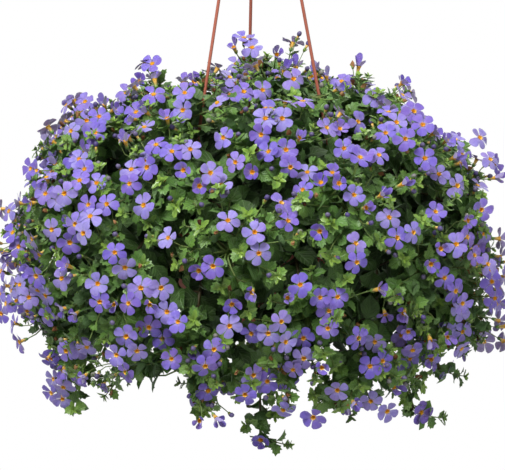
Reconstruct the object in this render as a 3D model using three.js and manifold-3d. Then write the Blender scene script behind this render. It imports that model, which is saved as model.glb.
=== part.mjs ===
// A bacopa in full flower in a hanging pot: a plastic pot of soil on a three-rod hanger, with leafy
// flowering sprays that fill a dome over the rim and trail in a skirt below it.
// Millimetres, +Z up. The origin is the point inside the hook that bears on whatever holds it.
// Azimuth 0 faces the viewer along -Y, and positive azimuths turn towards +X.
import * as THREE from "three";
import { mergeVertices } from "three/addons/utils/BufferGeometryUtils.js";
import Module from "manifold-3d";

const wasm = await Module();
wasm.setup();

// Pot
const RIM_RADIUS = 100;
const RIM_BAND = 18;
const RIM_STEP = 6;
const POT_HEIGHT = 115;
const BASE_RADIUS = 70;
const WALL = 2.2;
const RIM_WALL = 4;
const EDGE_CHAMFER = 1;
const FOOT = 1.5;
const FOOT_WIDTH = 6;
const POT_SIDES = 24;
const DRAIN_RADIUS = 5;
const DRAIN_RING = 40;
const DRAINS = 4;
const DRAIN_SIDES = 8;

// Soil
const SOIL_DROP = 18;
const SOIL_SIDES = 24;
const SOIL_GAP = 0.6;
const ROOT_DEPTH = 14;
const HOLE_REACH = 1.3;
const CLEARANCE = 0.4;

// Hanger
const ROD_RADIUS = 1.6;
const ROD_SIDES = 6;
const ROD_AZIMUTHS = [-50, 69, 186];
const HUB_HEIGHT = 415;
const HUB_RADIUS = 8;
const HUB_LENGTH = 12;
const HUB_CONE = 4;
const HUB_SIDES = 12;
const ROD_TOP_RING = 4.6;
const LUG_RING = 90;
const LUG_SIZE = new THREE.Vector3(12, 16, 3);
const LUG_DROP = 6;
const KNOB_DROP = 1;
const KNOB_RADIUS = 3.2;
const KNOB_LENGTH = 4;
const HOOK_RADIUS = 12;
const HOOK_WIRE = 2.3;
const HOOK_NECK = 20;
const HOOK_START = -50;
const HOOK_END = 205;
const HOOK_POINTS = 10;
const HOOK_SIDES = 6;
const HOOK_STEPS = 18;
const RIM_LEVEL = -(HUB_HEIGHT + HOOK_NECK + 2 * HOOK_RADIUS + HOOK_WIRE);

// Bush: a crown over the rim and a skirt below it, both measured from one centre
const BUSH_RADIUS = 243;
const CROWN_HEIGHT = 158;
const CROWN_POWER = 1.85;
const SKIRT_DEPTH = 252;
const BUSH_CENTRE = -20;
const HEM_ANGLE = 127;
const GOLDEN = 137.508;

// Sprays
const SPRAYS = 36;
const FIRST_AZIMUTH = 38;
const NODE_DEPTH = 34;
const NODE_RADIUS = 5;
const NODE_THICKNESS = 6;
const SIDE_SHOOTS = 6;
const SIDE_SHOOT_LENGTH = 52;
const SIDE_SHOOT_VARIETY = 0.18;
const SIDE_SHOOT_CLEFT = 19;
const SIDE_SHOOT_STEEPNESS = 0.36;
const SIDE_SHOOT_BELOW = 0.55;
const SIDE_SHOOT_GAP = 0.08;
const STALK_BESIDE = 0.2;
const SECTOR_UNEVEN = 0.3;
const CROWN_RADIUS = 2;
const CROWN_SIDES = 3;
const ROD_BESIDE = 0.7;
const ROD_MARGIN = 5;
const STALK_RADIUS = 1.5;
const STEM_RADIUS = 1.9;
const STEM_CREST = 60;
const STEM_CREST_INSIDE = 0.5;
const STEM_LEAN = 3;
const STEM_OVERHANG = 50;
const STEM_SAG = 14;
const STEM_BEND = 0.75;
const STEM_ARRIVAL = 26;
const STEM_STEPS = 4;
const OVERHUNG_STEPS = 8;
const ROOT_RING = 76;

// Trails: azimuth, distance of the tip from the pot's axis, and level of the tip
const TRAILS = [
  { azimuth: 2, ring: 112, level: -212 },
  { azimuth: 53, ring: 190, level: -186 },
  { azimuth: 102, ring: 192, level: -184 },
  { azimuth: 137, ring: 176, level: -196 },
  { azimuth: 174, ring: 140, level: -206 },
  { azimuth: 221, ring: 182, level: -192 },
  { azimuth: 292, ring: 192, level: -182 },
  { azimuth: 336, ring: 128, level: -172 },
];
const TRAIL_ROOT_RING = 82;
const TRAIL_THROAT_RING = 124;
const TRAIL_THROAT_LEVEL = -70;
const TRAIL_THROAT_BEND = 2;
const TRAIL_DROP = 50;
const TRAIL_SAG = 16;
const TRAIL_FLARE = 6;
const TRAIL_PLUMB = 60;
const TRAIL_STEPS = 12;
const TRAIL_HEADS = 5;
const TRAIL_SPACING = 24;
const TRAIL_TIP_SHARE = 0.3;
const TRAIL_ASIDE = 14;
const TRAIL_ASIDE_VARIETY = 6;
const TRAIL_OUT = 8;
const TRAIL_OUT_VARIETY = 8;
const TRAIL_HANG = 8;
const TRAIL_TUFT_EVERY = 3;

// Heads: open blooms, young blooms and leafy tips
const HEADS = 242;
const FIRST_HEAD_AZIMUTH = 7;
const HEAD_SHIFT = 10;
const HEAD_TILT = 0.9;
const HEAD_OUTWARD = 0.5;
const HEAD_UPWARD = 0.15;
const HEAD_GIVE = 0.6;
const HEAD_ATTEMPTS = 12;
const PETALS = 5;
const BLOOM_RADIUS = 15.5;
const PETAL_CLEFT = 0.74;
const THROAT_DEPTH = 3;
const TUBE_LENGTH = 6;
const BLOOM_LIFT = 14;
const BLOOM_SUNK_SHARE = 0.3;
const YOUNG_SHARE = 0.15;
const YOUNG_OPENNESS = 0.2;
const CLOSED_RADIUS_SHARE = 0.55;
const CLOSED_LIFT_SHARE = 0.7;
const PETAL_TIP_RISE = 1;
const ROSETTE_LEAVES = 4;
const ROSETTE_ROOM = 17;
const NODE_ROOM = 24;
const LEAF_LENGTH = 26;
const ROSETTE_CLEFT = 8;
const ROSETTE_STEEPNESS = 0.15;
const ROSETTE_RISE = 1;
const ROSETTE_NECK = 4;

const LOOKS = {
  pot: new THREE.MeshStandardMaterial({ color: 0x9c4a35, roughness: 0.55, metalness: 0 }),
  hanger: new THREE.MeshStandardMaterial({ color: 0xb0604c, roughness: 0.45, metalness: 0 }),
  soil: new THREE.MeshStandardMaterial({ color: 0x2c2019, roughness: 0.95, metalness: 0 }),
  leaf: new THREE.MeshStandardMaterial({ color: 0x4c7a3a, roughness: 0.6, metalness: 0 }),
};

const WELD_DISTANCE = 1e-4;
const radians = THREE.MathUtils.degToRad;
const UP = new THREE.Vector3(0, 0, 1);

// A repeatable number from 0 to 1 for three whole numbers.
function chance(a, b, c) {
  const mixed = Math.sin(a * 12.9898 + b * 78.233 + c * 37.719) * 43758.5453;
  return mixed - Math.floor(mixed);
}

// The point at a ring radius, an azimuth in degrees and a level above the rim.
function polarPoint(ring, azimuth, level) {
  const turn = radians(azimuth);
  return new THREE.Vector3(ring * Math.sin(turn), -ring * Math.cos(turn), level);
}

// Solids and meshes

function solidOf(geometry) {
  const bare = geometry.index ? geometry.toNonIndexed() : geometry.clone();
  bare.deleteAttribute("normal");
  bare.deleteAttribute("uv");
  const merged = mergeVertices(bare, WELD_DISTANCE);
  return new wasm.Manifold(
    new wasm.Mesh({
      numProp: 3,
      vertProperties: merged.attributes.position.array,
      triVerts: new Uint32Array(merged.index.array),
    }),
  );
}

function meshOf(solid, name, look) {
  const { vertProperties, triVerts } = solid.getMesh();
  const geometry = new THREE.BufferGeometry();
  geometry.setAttribute("position", new THREE.BufferAttribute(new Float32Array(vertProperties), 3));
  geometry.setIndex(new THREE.BufferAttribute(new Uint32Array(triVerts), 1));
  geometry.computeVertexNormals();
  const mesh = new THREE.Mesh(geometry, look);
  mesh.name = name;
  return mesh;
}

function fused(solids) {
  return wasm.Manifold.union(solids);
}

function polygon(radius, sides) {
  const shape = new THREE.Shape();
  for (let i = 0; i < sides; i++) {
    const turn = (2 * Math.PI * i) / sides;
    shape[i ? "lineTo" : "moveTo"](radius * Math.cos(turn), radius * Math.sin(turn));
  }
  return shape;
}

function tubeAlong(curve, radius, sides, steps) {
  const settings = { steps, bevelEnabled: false, extrudePath: curve };
  return solidOf(new THREE.ExtrudeGeometry(polygon(radius, sides), settings));
}

// A plain cylinder from one point to another.
function rodBetween(from, to, radius, sides) {
  const axis = to.clone().sub(from);
  const geometry = new THREE.CylinderGeometry(radius, radius, axis.length(), sides);
  geometry.applyQuaternion(
    new THREE.Quaternion().setFromUnitVectors(new THREE.Vector3(0, 1, 0), axis.clone().normalize()),
  );
  const middle = from.clone().add(to).multiplyScalar(0.5);
  return solidOf(geometry.translate(middle.x, middle.y, middle.z));
}

// A profile of [radius, level] pairs turned about the vertical axis.
function turned(profile, sides) {
  const geometry = new THREE.LatheGeometry(profile.map(([r, z]) => new THREE.Vector2(r, z)), sides);
  return solidOf(geometry.rotateX(Math.PI / 2));
}

// Hanger

const rodPath = (azimuth) => ({
  top: polarPoint(ROD_TOP_RING, azimuth, HUB_HEIGHT),
  foot: polarPoint(LUG_RING, azimuth, -LUG_DROP - LUG_SIZE.z - KNOB_DROP),
});

function rodSolid(azimuth, extra = 0) {
  const { top, foot } = rodPath(azimuth);
  return rodBetween(foot, top, ROD_RADIUS + extra, ROD_SIDES);
}

function rodMesh(azimuth, index) {
  const { top, foot } = rodPath(azimuth);
  const down = foot.clone().sub(top).normalize();
  const knobEnd = foot.clone().addScaledVector(down, KNOB_LENGTH);
  const knob = rodBetween(foot, knobEnd, KNOB_RADIUS, ROD_SIDES);
  const rod = rodBetween(foot.clone().lerp(knobEnd, 0.5), top, ROD_RADIUS, ROD_SIDES);
  return meshOf(fused([rod, knob]), `hanger_rod_${index + 1}`, LOOKS.hanger);
}

function hookMesh() {
  const ring = HOOK_RADIUS + HOOK_WIRE;
  const middle = HUB_HEIGHT + HOOK_NECK + HOOK_WIRE + HOOK_RADIUS;
  const arc = Array.from({ length: HOOK_POINTS }, (_, i) => {
    const turn = radians(THREE.MathUtils.lerp(HOOK_START, HOOK_END, i / (HOOK_POINTS - 1)));
    return new THREE.Vector3(ring * Math.cos(turn), 0, middle + ring * Math.sin(turn));
  });
  const neck = [
    new THREE.Vector3(0, 0, HUB_HEIGHT + HUB_CONE / 2),
    new THREE.Vector3(0, 0, HUB_HEIGHT + HOOK_NECK / 2),
  ];
  const bend = tubeAlong(new THREE.CatmullRomCurve3([...neck, ...arc]), HOOK_WIRE, HOOK_SIDES, HOOK_STEPS);
  const hub = turned(
    [
      [0, HUB_HEIGHT - HUB_LENGTH],
      [HUB_RADIUS, HUB_HEIGHT - HUB_LENGTH],
      [HUB_RADIUS, HUB_HEIGHT],
      [HOOK_WIRE + EDGE_CHAMFER, HUB_HEIGHT + HUB_CONE],
      [0, HUB_HEIGHT + HUB_CONE],
    ],
    HUB_SIDES,
  );
  const sockets = ROD_AZIMUTHS.map((azimuth) => {
    const { top, foot } = rodPath(azimuth);
    const beyond = top.clone().sub(foot).normalize().multiplyScalar(CLEARANCE).add(top);
    return rodBetween(foot, beyond, ROD_RADIUS + CLEARANCE, ROD_SIDES);
  });
  return meshOf(fused([bend, hub]).subtract(fused(sockets)), "hanger_hook", LOOKS.hanger);
}

// Pot and soil

const WALL_TOP = -RIM_BAND;
const INNER_RIM = RIM_RADIUS - RIM_WALL;

function potMesh() {
  const base = -POT_HEIGHT;
  const neckRadius = RIM_RADIUS - RIM_STEP;
  const body = turned(
    [
      [0, base + FOOT],
      [BASE_RADIUS - FOOT_WIDTH - FOOT, base + FOOT],
      [BASE_RADIUS - FOOT_WIDTH, base],
      [BASE_RADIUS, base],
      [neckRadius, WALL_TOP],
      [RIM_RADIUS, WALL_TOP + EDGE_CHAMFER],
      [RIM_RADIUS, -EDGE_CHAMFER],
      [RIM_RADIUS - EDGE_CHAMFER, 0],
      [INNER_RIM, 0],
      [INNER_RIM, WALL_TOP + RIM_STEP],
      [neckRadius - WALL, WALL_TOP],
      [BASE_RADIUS - WALL, base + FOOT + WALL],
      [0, base + FOOT + WALL],
    ],
    POT_SIDES,
  );
  const lugs = ROD_AZIMUTHS.map((azimuth) => {
    const box = new THREE.BoxGeometry(LUG_SIZE.x, LUG_SIZE.y, LUG_SIZE.z);
    box.translate(0, -LUG_RING, -LUG_DROP - LUG_SIZE.z / 2).rotateZ(radians(azimuth));
    return solidOf(box);
  });
  const eyes = ROD_AZIMUTHS.map((azimuth) => rodSolid(azimuth, CLEARANCE));
  const drains = Array.from({ length: DRAINS }, (_, i) => {
    const centre = polarPoint(DRAIN_RING, (360 * i) / DRAINS, base - EDGE_CHAMFER);
    return rodBetween(centre, centre.clone().setZ(base + 2 * DRAIN_RADIUS), DRAIN_RADIUS, DRAIN_SIDES);
  });
  const solid = fused([body, ...lugs]).subtract(fused([...eyes, ...drains]));
  return meshOf(solid, "pot", LOOKS.pot);
}

const SOIL_TOP = -SOIL_DROP;
const ROOT_LEVEL = SOIL_TOP - ROOT_DEPTH;

// A square hole round the first straight length of a stem, from just under its root to the air.
function rootHole({ route, steps }) {
  const root = route.getPointAt(0);
  const way = route.getPointAt(1 / steps).sub(root).normalize();
  const end = root.clone().addScaledVector(way, -CLEARANCE);
  const mouth = root.clone().addScaledVector(way, HOLE_REACH * ROOT_DEPTH);
  return rodBetween(end, mouth, (STEM_RADIUS + CLEARANCE) * Math.SQRT2, 4);
}

function soilMesh(stems) {
  const base = -POT_HEIGHT + FOOT + WALL + CLEARANCE;
  const gap = WALL + SOIL_GAP;
  const body = turned(
    [
      [0, base],
      [BASE_RADIUS - gap, base],
      [RIM_RADIUS - RIM_STEP - gap, SOIL_TOP],
      [0, SOIL_TOP],
    ],
    SOIL_SIDES,
  );
  return meshOf(body.subtract(fused(stems.map(rootHole))), "soil", LOOKS.soil);
}

// The bush's form

// How far the bush reaches from its middle at a polar angle from straight up.
function reach(polar) {
  const below = polar > Math.PI / 2;
  const power = below ? 2 : CROWN_POWER;
  const height = below ? SKIRT_DEPTH : CROWN_HEIGHT;
  const across = (Math.sin(polar) / BUSH_RADIUS) ** power;
  const along = (Math.abs(Math.cos(polar)) / height) ** power;
  return (across + along) ** (-1 / power);
}

const HEM = radians(HEM_ANGLE);
const AREA_STEPS = 200;

// The bush's area, up to a factor, above each of the steps from the top to the hem.
const areaAbove = [0];
for (let i = 1; i <= AREA_STEPS; i++) {
  const [a, b] = [((i - 1) * HEM) / AREA_STEPS, (i * HEM) / AREA_STEPS];
  const [ringA, ringB] = [reach(a) * Math.sin(a), reach(b) * Math.sin(b)];
  const slope = Math.hypot(ringA - ringB, reach(a) * Math.cos(a) - reach(b) * Math.cos(b));
  areaAbove.push(areaAbove[i - 1] + slope * (ringA + ringB));
}

// The polar angle above which the given share of the bush's area lies.
function polarAtShare(share) {
  const wanted = share * areaAbove[AREA_STEPS];
  const i = areaAbove.findIndex((area) => area >= wanted);
  const part = (wanted - areaAbove[i - 1]) / (areaAbove[i] - areaAbove[i - 1]);
  return ((i - 1 + part) * HEM) / AREA_STEPS;
}

// The way out of the bush at a point of its surface.
function bushNormal(point) {
  const height = point.z < BUSH_CENTRE ? SKIRT_DEPTH : CROWN_HEIGHT;
  const across = point.clone().divideScalar(BUSH_RADIUS ** 2);
  return across.setZ((point.z - BUSH_CENTRE) / height ** 2).normalize();
}

// One of a number of places spread evenly over the bush by the golden angle, from its top down.
function evenPlace(index, count, firstAzimuth) {
  const polar = polarAtShare((index + 0.5) / count);
  const azimuth = (firstAzimuth + index * GOLDEN) % 360;
  const ring = reach(polar) * Math.sin(polar);
  const point = polarPoint(ring, azimuth, BUSH_CENTRE + reach(polar) * Math.cos(polar));
  return { point, normal: bushNormal(point), azimuth, index };
}

function nearestOnRod(azimuth, point) {
  const { top, foot } = rodPath(azimuth);
  return new THREE.Line3(foot, top).closestPointToPoint(point, true, new THREE.Vector3());
}

// Moves a ball out of the way of the hanger's rods.
function clearOfRods(point, room) {
  for (const azimuth of ROD_AZIMUTHS) {
    const nearest = nearestOnRod(azimuth, point);
    const lack = room + ROD_RADIUS + CLEARANCE - nearest.distanceTo(point);
    if (lack > 0) point.addScaledVector(point.clone().sub(nearest).normalize(), lack);
  }
  return point;
}

// Blooms and leaves

const evenTurns = (count) => Array.from({ length: count }, (_, i) => (2 * Math.PI * i) / count);

// The triangles of a band from a lower ring up to an upper one, given the same way round: those that
// stand on the sides of the lower ring, and those that hang from the sides of the upper one.
function bandBetween(lower, upper) {
  const standing = [];
  const hanging = [];
  const [lows, ups] = [lower.corners.length, upper.corners.length];
  const middle = ({ turns }, i) => (turns[i] + (turns[i + 1] ?? turns[0] + 2 * Math.PI)) / 2;
  while (standing.length < lows || hanging.length < ups) {
    const [a, b] = [standing.length, hanging.length];
    const [low, up] = [lower.corners[a % lows], upper.corners[b % ups]];
    const isLowerNext = b === ups || (a < lows && middle(lower, a) <= middle(upper, b));
    if (isLowerNext) standing.push([low, lower.corners[(a + 1) % lows], up]);
    else hanging.push([low, upper.corners[(b + 1) % ups], up]);
  }
  return { standing, hanging };
}

// Points round an axis, at turns from the given way.
function pointsRound(centre, axis, towards, radius, turns) {
  const first = towards.clone().addScaledVector(axis, -towards.dot(axis)).normalize();
  return turns.map((turn) => first.clone().applyAxisAngle(axis, turn).multiplyScalar(radius).add(centre));
}

// A closed surface that grows by rings of corners and the triangles between them.
class Surface {
  points = [];
  triangles = [];

  ring(points, turns = evenTurns(points.length)) {
    const start = this.points.length;
    this.points.push(...points);
    return { corners: points.map((_, i) => start + i), turns };
  }

  band(lower, upper) {
    const { standing, hanging } = bandBetween(lower, upper);
    this.triangles.push(...standing.flat(), ...hanging.flat());
  }

  floor({ corners: [first, second, third] }) {
    this.triangles.push(third, second, first);
  }

  cap({ corners }, point) {
    const [hub] = this.ring([point]).corners;
    const next = (i) => corners[(i + 1) % corners.length];
    this.triangles.push(...corners.flatMap((corner, i) => [hub, corner, next(i)]));
  }

  solid() {
    const geometry = new THREE.BufferGeometry().setFromPoints(this.points);
    geometry.setIndex(this.triangles);
    return solidOf(geometry);
  }
}

// Adds a flat head on a stalk of three sides that rises from a ring of three corners.
function addHead(surface, base, { outline, rise, waistDrop }, centre, facing) {
  const [start, ...rest] = base.corners.map((i) => surface.points[i]);
  const towards = rest.reduce((way, corner) => way.sub(corner), start.clone().multiplyScalar(2));
  const waistCentre = centre.clone().addScaledVector(facing, -waistDrop);
  const waist = surface.ring(pointsRound(waistCentre, facing, towards, STALK_RADIUS, evenTurns(3)));
  const [forward] = pointsRound(new THREE.Vector3(), facing, towards, 1, [0]);
  const side = new THREE.Vector3().crossVectors(facing, forward);
  const placed = outline.map(([x, y, z]) =>
    centre.clone().addScaledVector(forward, x).addScaledVector(side, y).addScaledVector(facing, z),
  );
  const edge = surface.ring(placed);
  surface.band(base, waist);
  surface.band(waist, edge);
  surface.cap(edge, centre.clone().addScaledVector(facing, rise));
}

// A bloom's five petals, flat when it is open and drawn up into a cup when it is young.
function bloomHead(openness) {
  const radius = BLOOM_RADIUS * THREE.MathUtils.lerp(CLOSED_RADIUS_SHARE, 1, openness);
  const lift = CLOSED_LIFT_SHARE * BLOOM_RADIUS * (1 - openness);
  const outline = Array.from({ length: 2 * PETALS }, (_, i) => {
    const angle = (Math.PI * i) / PETALS;
    const out = i % 2 ? PETAL_CLEFT * radius : radius;
    return [out * Math.cos(angle), out * Math.sin(angle), i % 2 ? lift / 2 : lift + PETAL_TIP_RISE];
  });
  return { outline, rise: -THROAT_DEPTH, waistDrop: TUBE_LENGTH };
}

// A ring of leaves or leafy side shoots, each drawn from its cleft to its tip and back. A corner is
// given by its share of the length and its share of the half width that is free there.
const LEAF_CORNERS = [
  [0.6, -0.8],
  [0.85, -0.5],
  [1, 0],
  [0.85, 0.5],
  [0.6, 0.8],
];

function leafRing(count, cleft, lengthOf, steepnessOf) {
  const half = Math.PI / count;
  return Array.from({ length: count }, (_, leaf) => {
    const turn = (2 * leaf + 1) * half;
    const length = lengthOf(turn, leaf);
    const leafCorners = LEAF_CORNERS.map(([along, share]) => [along, along * share * Math.tan(half)]);
    const corners = leafCorners.map(([out, across]) => [length * out, length * across]);
    corners.unshift([cleft * Math.cos(half), -cleft * Math.sin(half)]);
    return corners.map(([out, across]) => [
      out * Math.cos(turn) - across * Math.sin(turn),
      out * Math.sin(turn) + across * Math.cos(turn),
      out * steepnessOf(turn),
    ]);
  }).flat();
}

function rosetteHead() {
  const outline = leafRing(ROSETTE_LEAVES, ROSETTE_CLEFT, () => LEAF_LENGTH, () => ROSETTE_STEEPNESS);
  return { outline, rise: ROSETTE_RISE, waistDrop: ROSETTE_NECK };
}

// Sprays: leafy stems that fill the dome

function sprayAt(index) {
  const spray = evenPlace(index, SPRAYS, FIRST_AZIMUTH);
  spray.node = clearOfRods(spray.point.clone().addScaledVector(spray.normal, -NODE_DEPTH), NODE_ROOM);
  spray.root = polarPoint(ROOT_RING * Math.sqrt((index + 0.5) / SPRAYS), spray.azimuth, ROOT_LEVEL);
  spray.side = polarPoint(1, spray.azimuth + 90, 0);
  return spray;
}

// The stem's route in its own upright plane: up from the soil, over the rim if it must, and out.
function sprayRoute({ root, node, normal, azimuth }) {
  const rootRing = Math.hypot(root.x, root.y);
  const outward = THREE.MathUtils.clamp((STEM_CREST - node.z) / STEM_CREST, 0, 1);
  const crest = THREE.MathUtils.lerp(STEM_CREST_INSIDE * node.z, STEM_CREST, outward);
  const arrival = node.clone().addScaledVector(normal, -STEM_ARRIVAL);
  const over = polarPoint(rootRing + STEM_OVERHANG, azimuth, STEM_CREST - STEM_SAG);
  const route = new THREE.CurvePath();
  const collar = root.clone().setZ(SOIL_TOP);
  route.add(new THREE.LineCurve3(root, collar));
  route.add(
    new THREE.CubicBezierCurve3(
      collar,
      polarPoint(rootRing + STEM_LEAN, azimuth, crest),
      arrival.lerp(over, STEM_BEND * outward),
      node.clone().addScaledVector(normal, -NODE_THICKNESS),
    ),
  );
  return { route, steps: outward > 0 ? OVERHUNG_STEPS : STEM_STEPS };
}

// Trails: long stems that hang down under the dome's hem

function trailAt({ azimuth, ring, level }) {
  const root = polarPoint(TRAIL_ROOT_RING, azimuth, ROOT_LEVEL);
  const collar = root.clone().setZ(SOIL_TOP);
  const throat = polarPoint(TRAIL_THROAT_RING, azimuth, TRAIL_THROAT_LEVEL);
  const tip = polarPoint(ring, azimuth, level);
  const route = new THREE.CurvePath();
  route.add(new THREE.LineCurve3(root, collar));
  route.add(
    new THREE.CubicBezierCurve3(
      collar,
      polarPoint(TRAIL_ROOT_RING + STEM_LEAN, azimuth, STEM_CREST),
      polarPoint(TRAIL_THROAT_RING - TRAIL_THROAT_BEND, azimuth, STEM_CREST - TRAIL_SAG),
      throat,
    ),
  );
  route.add(
    new THREE.CubicBezierCurve3(
      throat,
      polarPoint(TRAIL_THROAT_RING + TRAIL_THROAT_BEND, azimuth, TRAIL_THROAT_LEVEL - TRAIL_DROP),
      polarPoint(ring - TRAIL_FLARE, azimuth, level + TRAIL_PLUMB),
      tip,
    ),
  );
  const outward = polarPoint(1, azimuth, 0);
  const side = new THREE.Vector3().crossVectors(UP, outward);
  return { route, steps: TRAIL_STEPS, outward, side, tip };
}

// The point of a trail's straight lengths at a share of its way.
function trailFoot({ route, steps }, share) {
  const step = Math.min(Math.floor(share * steps), steps - 1);
  return route.getPointAt(step / steps).lerp(route.getPointAt((step + 1) / steps), share * steps - step);
}

// The heads of a trail, from its tip up, on alternate sides.
function trailHeads(trail, number) {
  const length = trail.route.getLength();
  return Array.from({ length: TRAIL_HEADS }, (_, i) => {
    const foot = trailFoot(trail, 1 - (TRAIL_SPACING * (i + TRAIL_TIP_SHARE)) / length);
    const swing = i === 0 ? 0 : i % 2 ? 1 : -1;
    const aside = swing * (TRAIL_ASIDE + TRAIL_ASIDE_VARIETY * chance(number, i, 8));
    const out = TRAIL_OUT + TRAIL_OUT_VARIETY * chance(number, i, 9);
    const point = foot.clone().addScaledVector(trail.side, aside);
    point.addScaledVector(trail.outward, out).addScaledVector(UP, -TRAIL_HANG);
    const isRosette = i % TRAIL_TUFT_EVERY === 1;
    return { index: HEADS + number * TRAIL_HEADS + i, point, foot, isRosette };
  });
}

// Heads: the blooms and the leafy tips of the dome

function headAt(index) {
  const { point, normal, azimuth } = evenPlace(index, HEADS, FIRST_HEAD_AZIMUTH);
  point.addScaledVector(normal, BLOOM_LIFT * (chance(index, 0, 3) - BLOOM_SUNK_SHARE));
  point.addScaledVector(polarPoint(1, azimuth + 90, 0), HEAD_SHIFT * (chance(index, 1, 3) - 0.5));
  return { index, point, isRosette: false };
}

// The way a head faces: along its stalk and out of the bush, with a tilt of its own.
function facingOf({ point, index }, foot, outward) {
  const stalk = point.clone().sub(foot).normalize();
  const facing = stalk.addScaledVector(outward, HEAD_OUTWARD).addScaledVector(UP, HEAD_UPWARD);
  const tilt = [5, 6, 7].map((key) => HEAD_TILT * (chance(index, key, 3) - 0.5));
  return facing.add(new THREE.Vector3(...tilt)).normalize();
}

const roomOf = (head) => (head.isRosette ? ROSETTE_ROOM : BLOOM_RADIUS) + CLEARANCE;

// The head, bent clear of the rods and of the heads that are there, or nothing where it finds no room.
function withRoom(head, others) {
  for (let attempt = 0; attempt < HEAD_ATTEMPTS; attempt++) {
    clearOfRods(head.point, roomOf(head));
    const lackOf = (other) => roomOf(other) + roomOf(head) - other.point.distanceTo(head.point);
    const near = others.filter((other) => lackOf(other) > 0);
    if (near.length === 0) return head;
    for (const other of near) {
      const away = head.point.clone().sub(other.point).normalize();
      head.point.addScaledVector(away, HEAD_GIVE * lackOf(other) + CLEARANCE / 2);
    }
  }
  return null;
}

const sprays = Array.from({ length: SPRAYS }, (_, index) => sprayAt(index));
const trails = TRAILS.map(trailAt);
const hangingHeads = trails.map(trailHeads);
const domeHeads = [];
for (let index = 0; index < HEADS; index++) {
  const head = withRoom(headAt(index), [...hangingHeads.flat(), ...domeHeads]);
  if (head) domeHeads.push(head);
}

function nearestSpray(point) {
  return sprays.reduce((a, b) => (b.point.distanceTo(point) < a.point.distanceTo(point) ? b : a));
}

const OPEN_BLOOM = bloomHead(1);
const YOUNG_BLOOM = bloomHead(YOUNG_OPENNESS);
const ROSETTE = rosetteHead();

function headOf({ isRosette, index }) {
  if (isRosette) return ROSETTE;
  return chance(index, 4, 3) < YOUNG_SHARE ? YOUNG_BLOOM : OPEN_BLOOM;
}

// Adds a stem of three sides along a route and returns its last ring.
function addStem(surface, { route, steps }, side) {
  let ring = null;
  for (let step = 0; step < steps; step++) {
    const centre = route.getPointAt(step / steps);
    const way = route.getTangentAt(step / steps);
    const next = surface.ring(pointsRound(centre, way, side, STEM_RADIUS, evenTurns(3)));
    if (ring) surface.band(ring, next);
    else surface.floor(next);
    ring = next;
  }
  return ring;
}

// The turns at which the sectors of the heads round a node part, evened out.
function sectorTurns(headTurns) {
  const even = evenTurns(headTurns.length);
  const last = headTurns[headTurns.length - 1] - 2 * Math.PI;
  const parting = headTurns.map((turn, i) => (turn + (headTurns[i - 1] ?? last)) / 2);
  const shift = parting.reduce((sum, turn, i) => sum + turn - even[i], 0) / even.length;
  return parting.map((turn, i) => THREE.MathUtils.lerp(even[i] + shift, turn, SECTOR_UNEVEN));
}

// A spray in one surface: its stem, the node at its top, the leafy side shoots round the node, and
// the stalks of its heads. The head nearest to the node's axis stands on its crown, and the others
// stand round it, each in a sector of its own.
function sprayMesh(spray) {
  const { node, normal, side, index } = spray;
  const slope = new THREE.Vector3().crossVectors(normal, side);
  const place = (x, y, z) =>
    node.clone().addScaledVector(side, x).addScaledVector(slope, y).addScaledVector(normal, z);
  const seen = (point) => {
    const way = point.clone().sub(node);
    const [x, y] = [way.dot(side), way.dot(slope)];
    const turn = (Math.atan2(y, x) + 2 * Math.PI) % (2 * Math.PI);
    return { turn, out: Math.hypot(x, y), up: way.dot(normal) };
  };
  const nearTurn = (turn, share) => (other) => Math.cos(other.turn - turn) > share;
  const heads = domeHeads.filter((head) => nearestSpray(head.point) === spray);
  heads.sort((a, b) => seen(a.point).out - seen(b.point).out);
  const [central] = heads.length > CROWN_SIDES ? heads.splice(0, 1) : [];
  heads.sort((a, b) => seen(a.point).turn - seen(b.point).turn);

  // A side shoot stops short of a rod that it would meet, and lies below the stalks over it.
  const rods = ROD_AZIMUTHS.map((azimuth) => seen(nearestOnRod(azimuth, node)));
  const lengthOf = (turn, shoot) => {
    const met = rods.filter(nearTurn(turn, ROD_BESIDE));
    const length = SIDE_SHOOT_LENGTH * (1 - SIDE_SHOOT_VARIETY * chance(index, shoot, 5));
    return Math.min(length, ...met.map(({ out, up }) => Math.hypot(out, up) - ROD_MARGIN));
  };
  const steepness = (turn) => {
    const over = heads.map((head) => seen(head.point)).filter(nearTurn(turn, STALK_BESIDE));
    const free = over.map(({ out, up }) => (SIDE_SHOOT_BELOW * up) / out - SIDE_SHOOT_GAP);
    return Math.min(SIDE_SHOOT_STEEPNESS, ...free);
  };
  const shoots = leafRing(SIDE_SHOOTS, SIDE_SHOOT_CLEFT, lengthOf, steepness);

  const surface = new Surface();
  const turns = sectorTurns(heads.map((head) => seen(head.point).turn));
  const ring = (level, radius, at) =>
    surface.ring(pointsRound(place(0, 0, level), normal, side, radius, at), at);
  const under = ring(-NODE_THICKNESS / 2, NODE_RADIUS, turns);
  const over = ring(0, NODE_RADIUS, turns);
  const crown = ring(NODE_THICKNESS / 2, CROWN_RADIUS, evenTurns(CROWN_SIDES));
  const edge = surface.ring(shoots.map((corner) => place(...corner)));
  surface.band(addStem(surface, sprayRoute(spray), side), under);
  surface.band(under, edge);
  surface.band(edge, over);
  const { standing, hanging } = bandBetween(over, crown);
  surface.triangles.push(...hanging.flat());
  const stand = (head, base) =>
    addHead(surface, base, headOf(head), head.point, facingOf(head, node, bushNormal(head.point)));
  heads.forEach((head, i) => {
    const [first, second, top] = standing[i];
    stand(head, { corners: [top, first, second], turns: evenTurns(3) });
  });
  if (central) stand(central, crown);
  else surface.cap(crown, place(0, 0, NODE_THICKNESS));
  return meshOf(surface.solid(), `spray_${String(index + 1).padStart(2, "0")}`, LOOKS.leaf);
}

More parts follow.
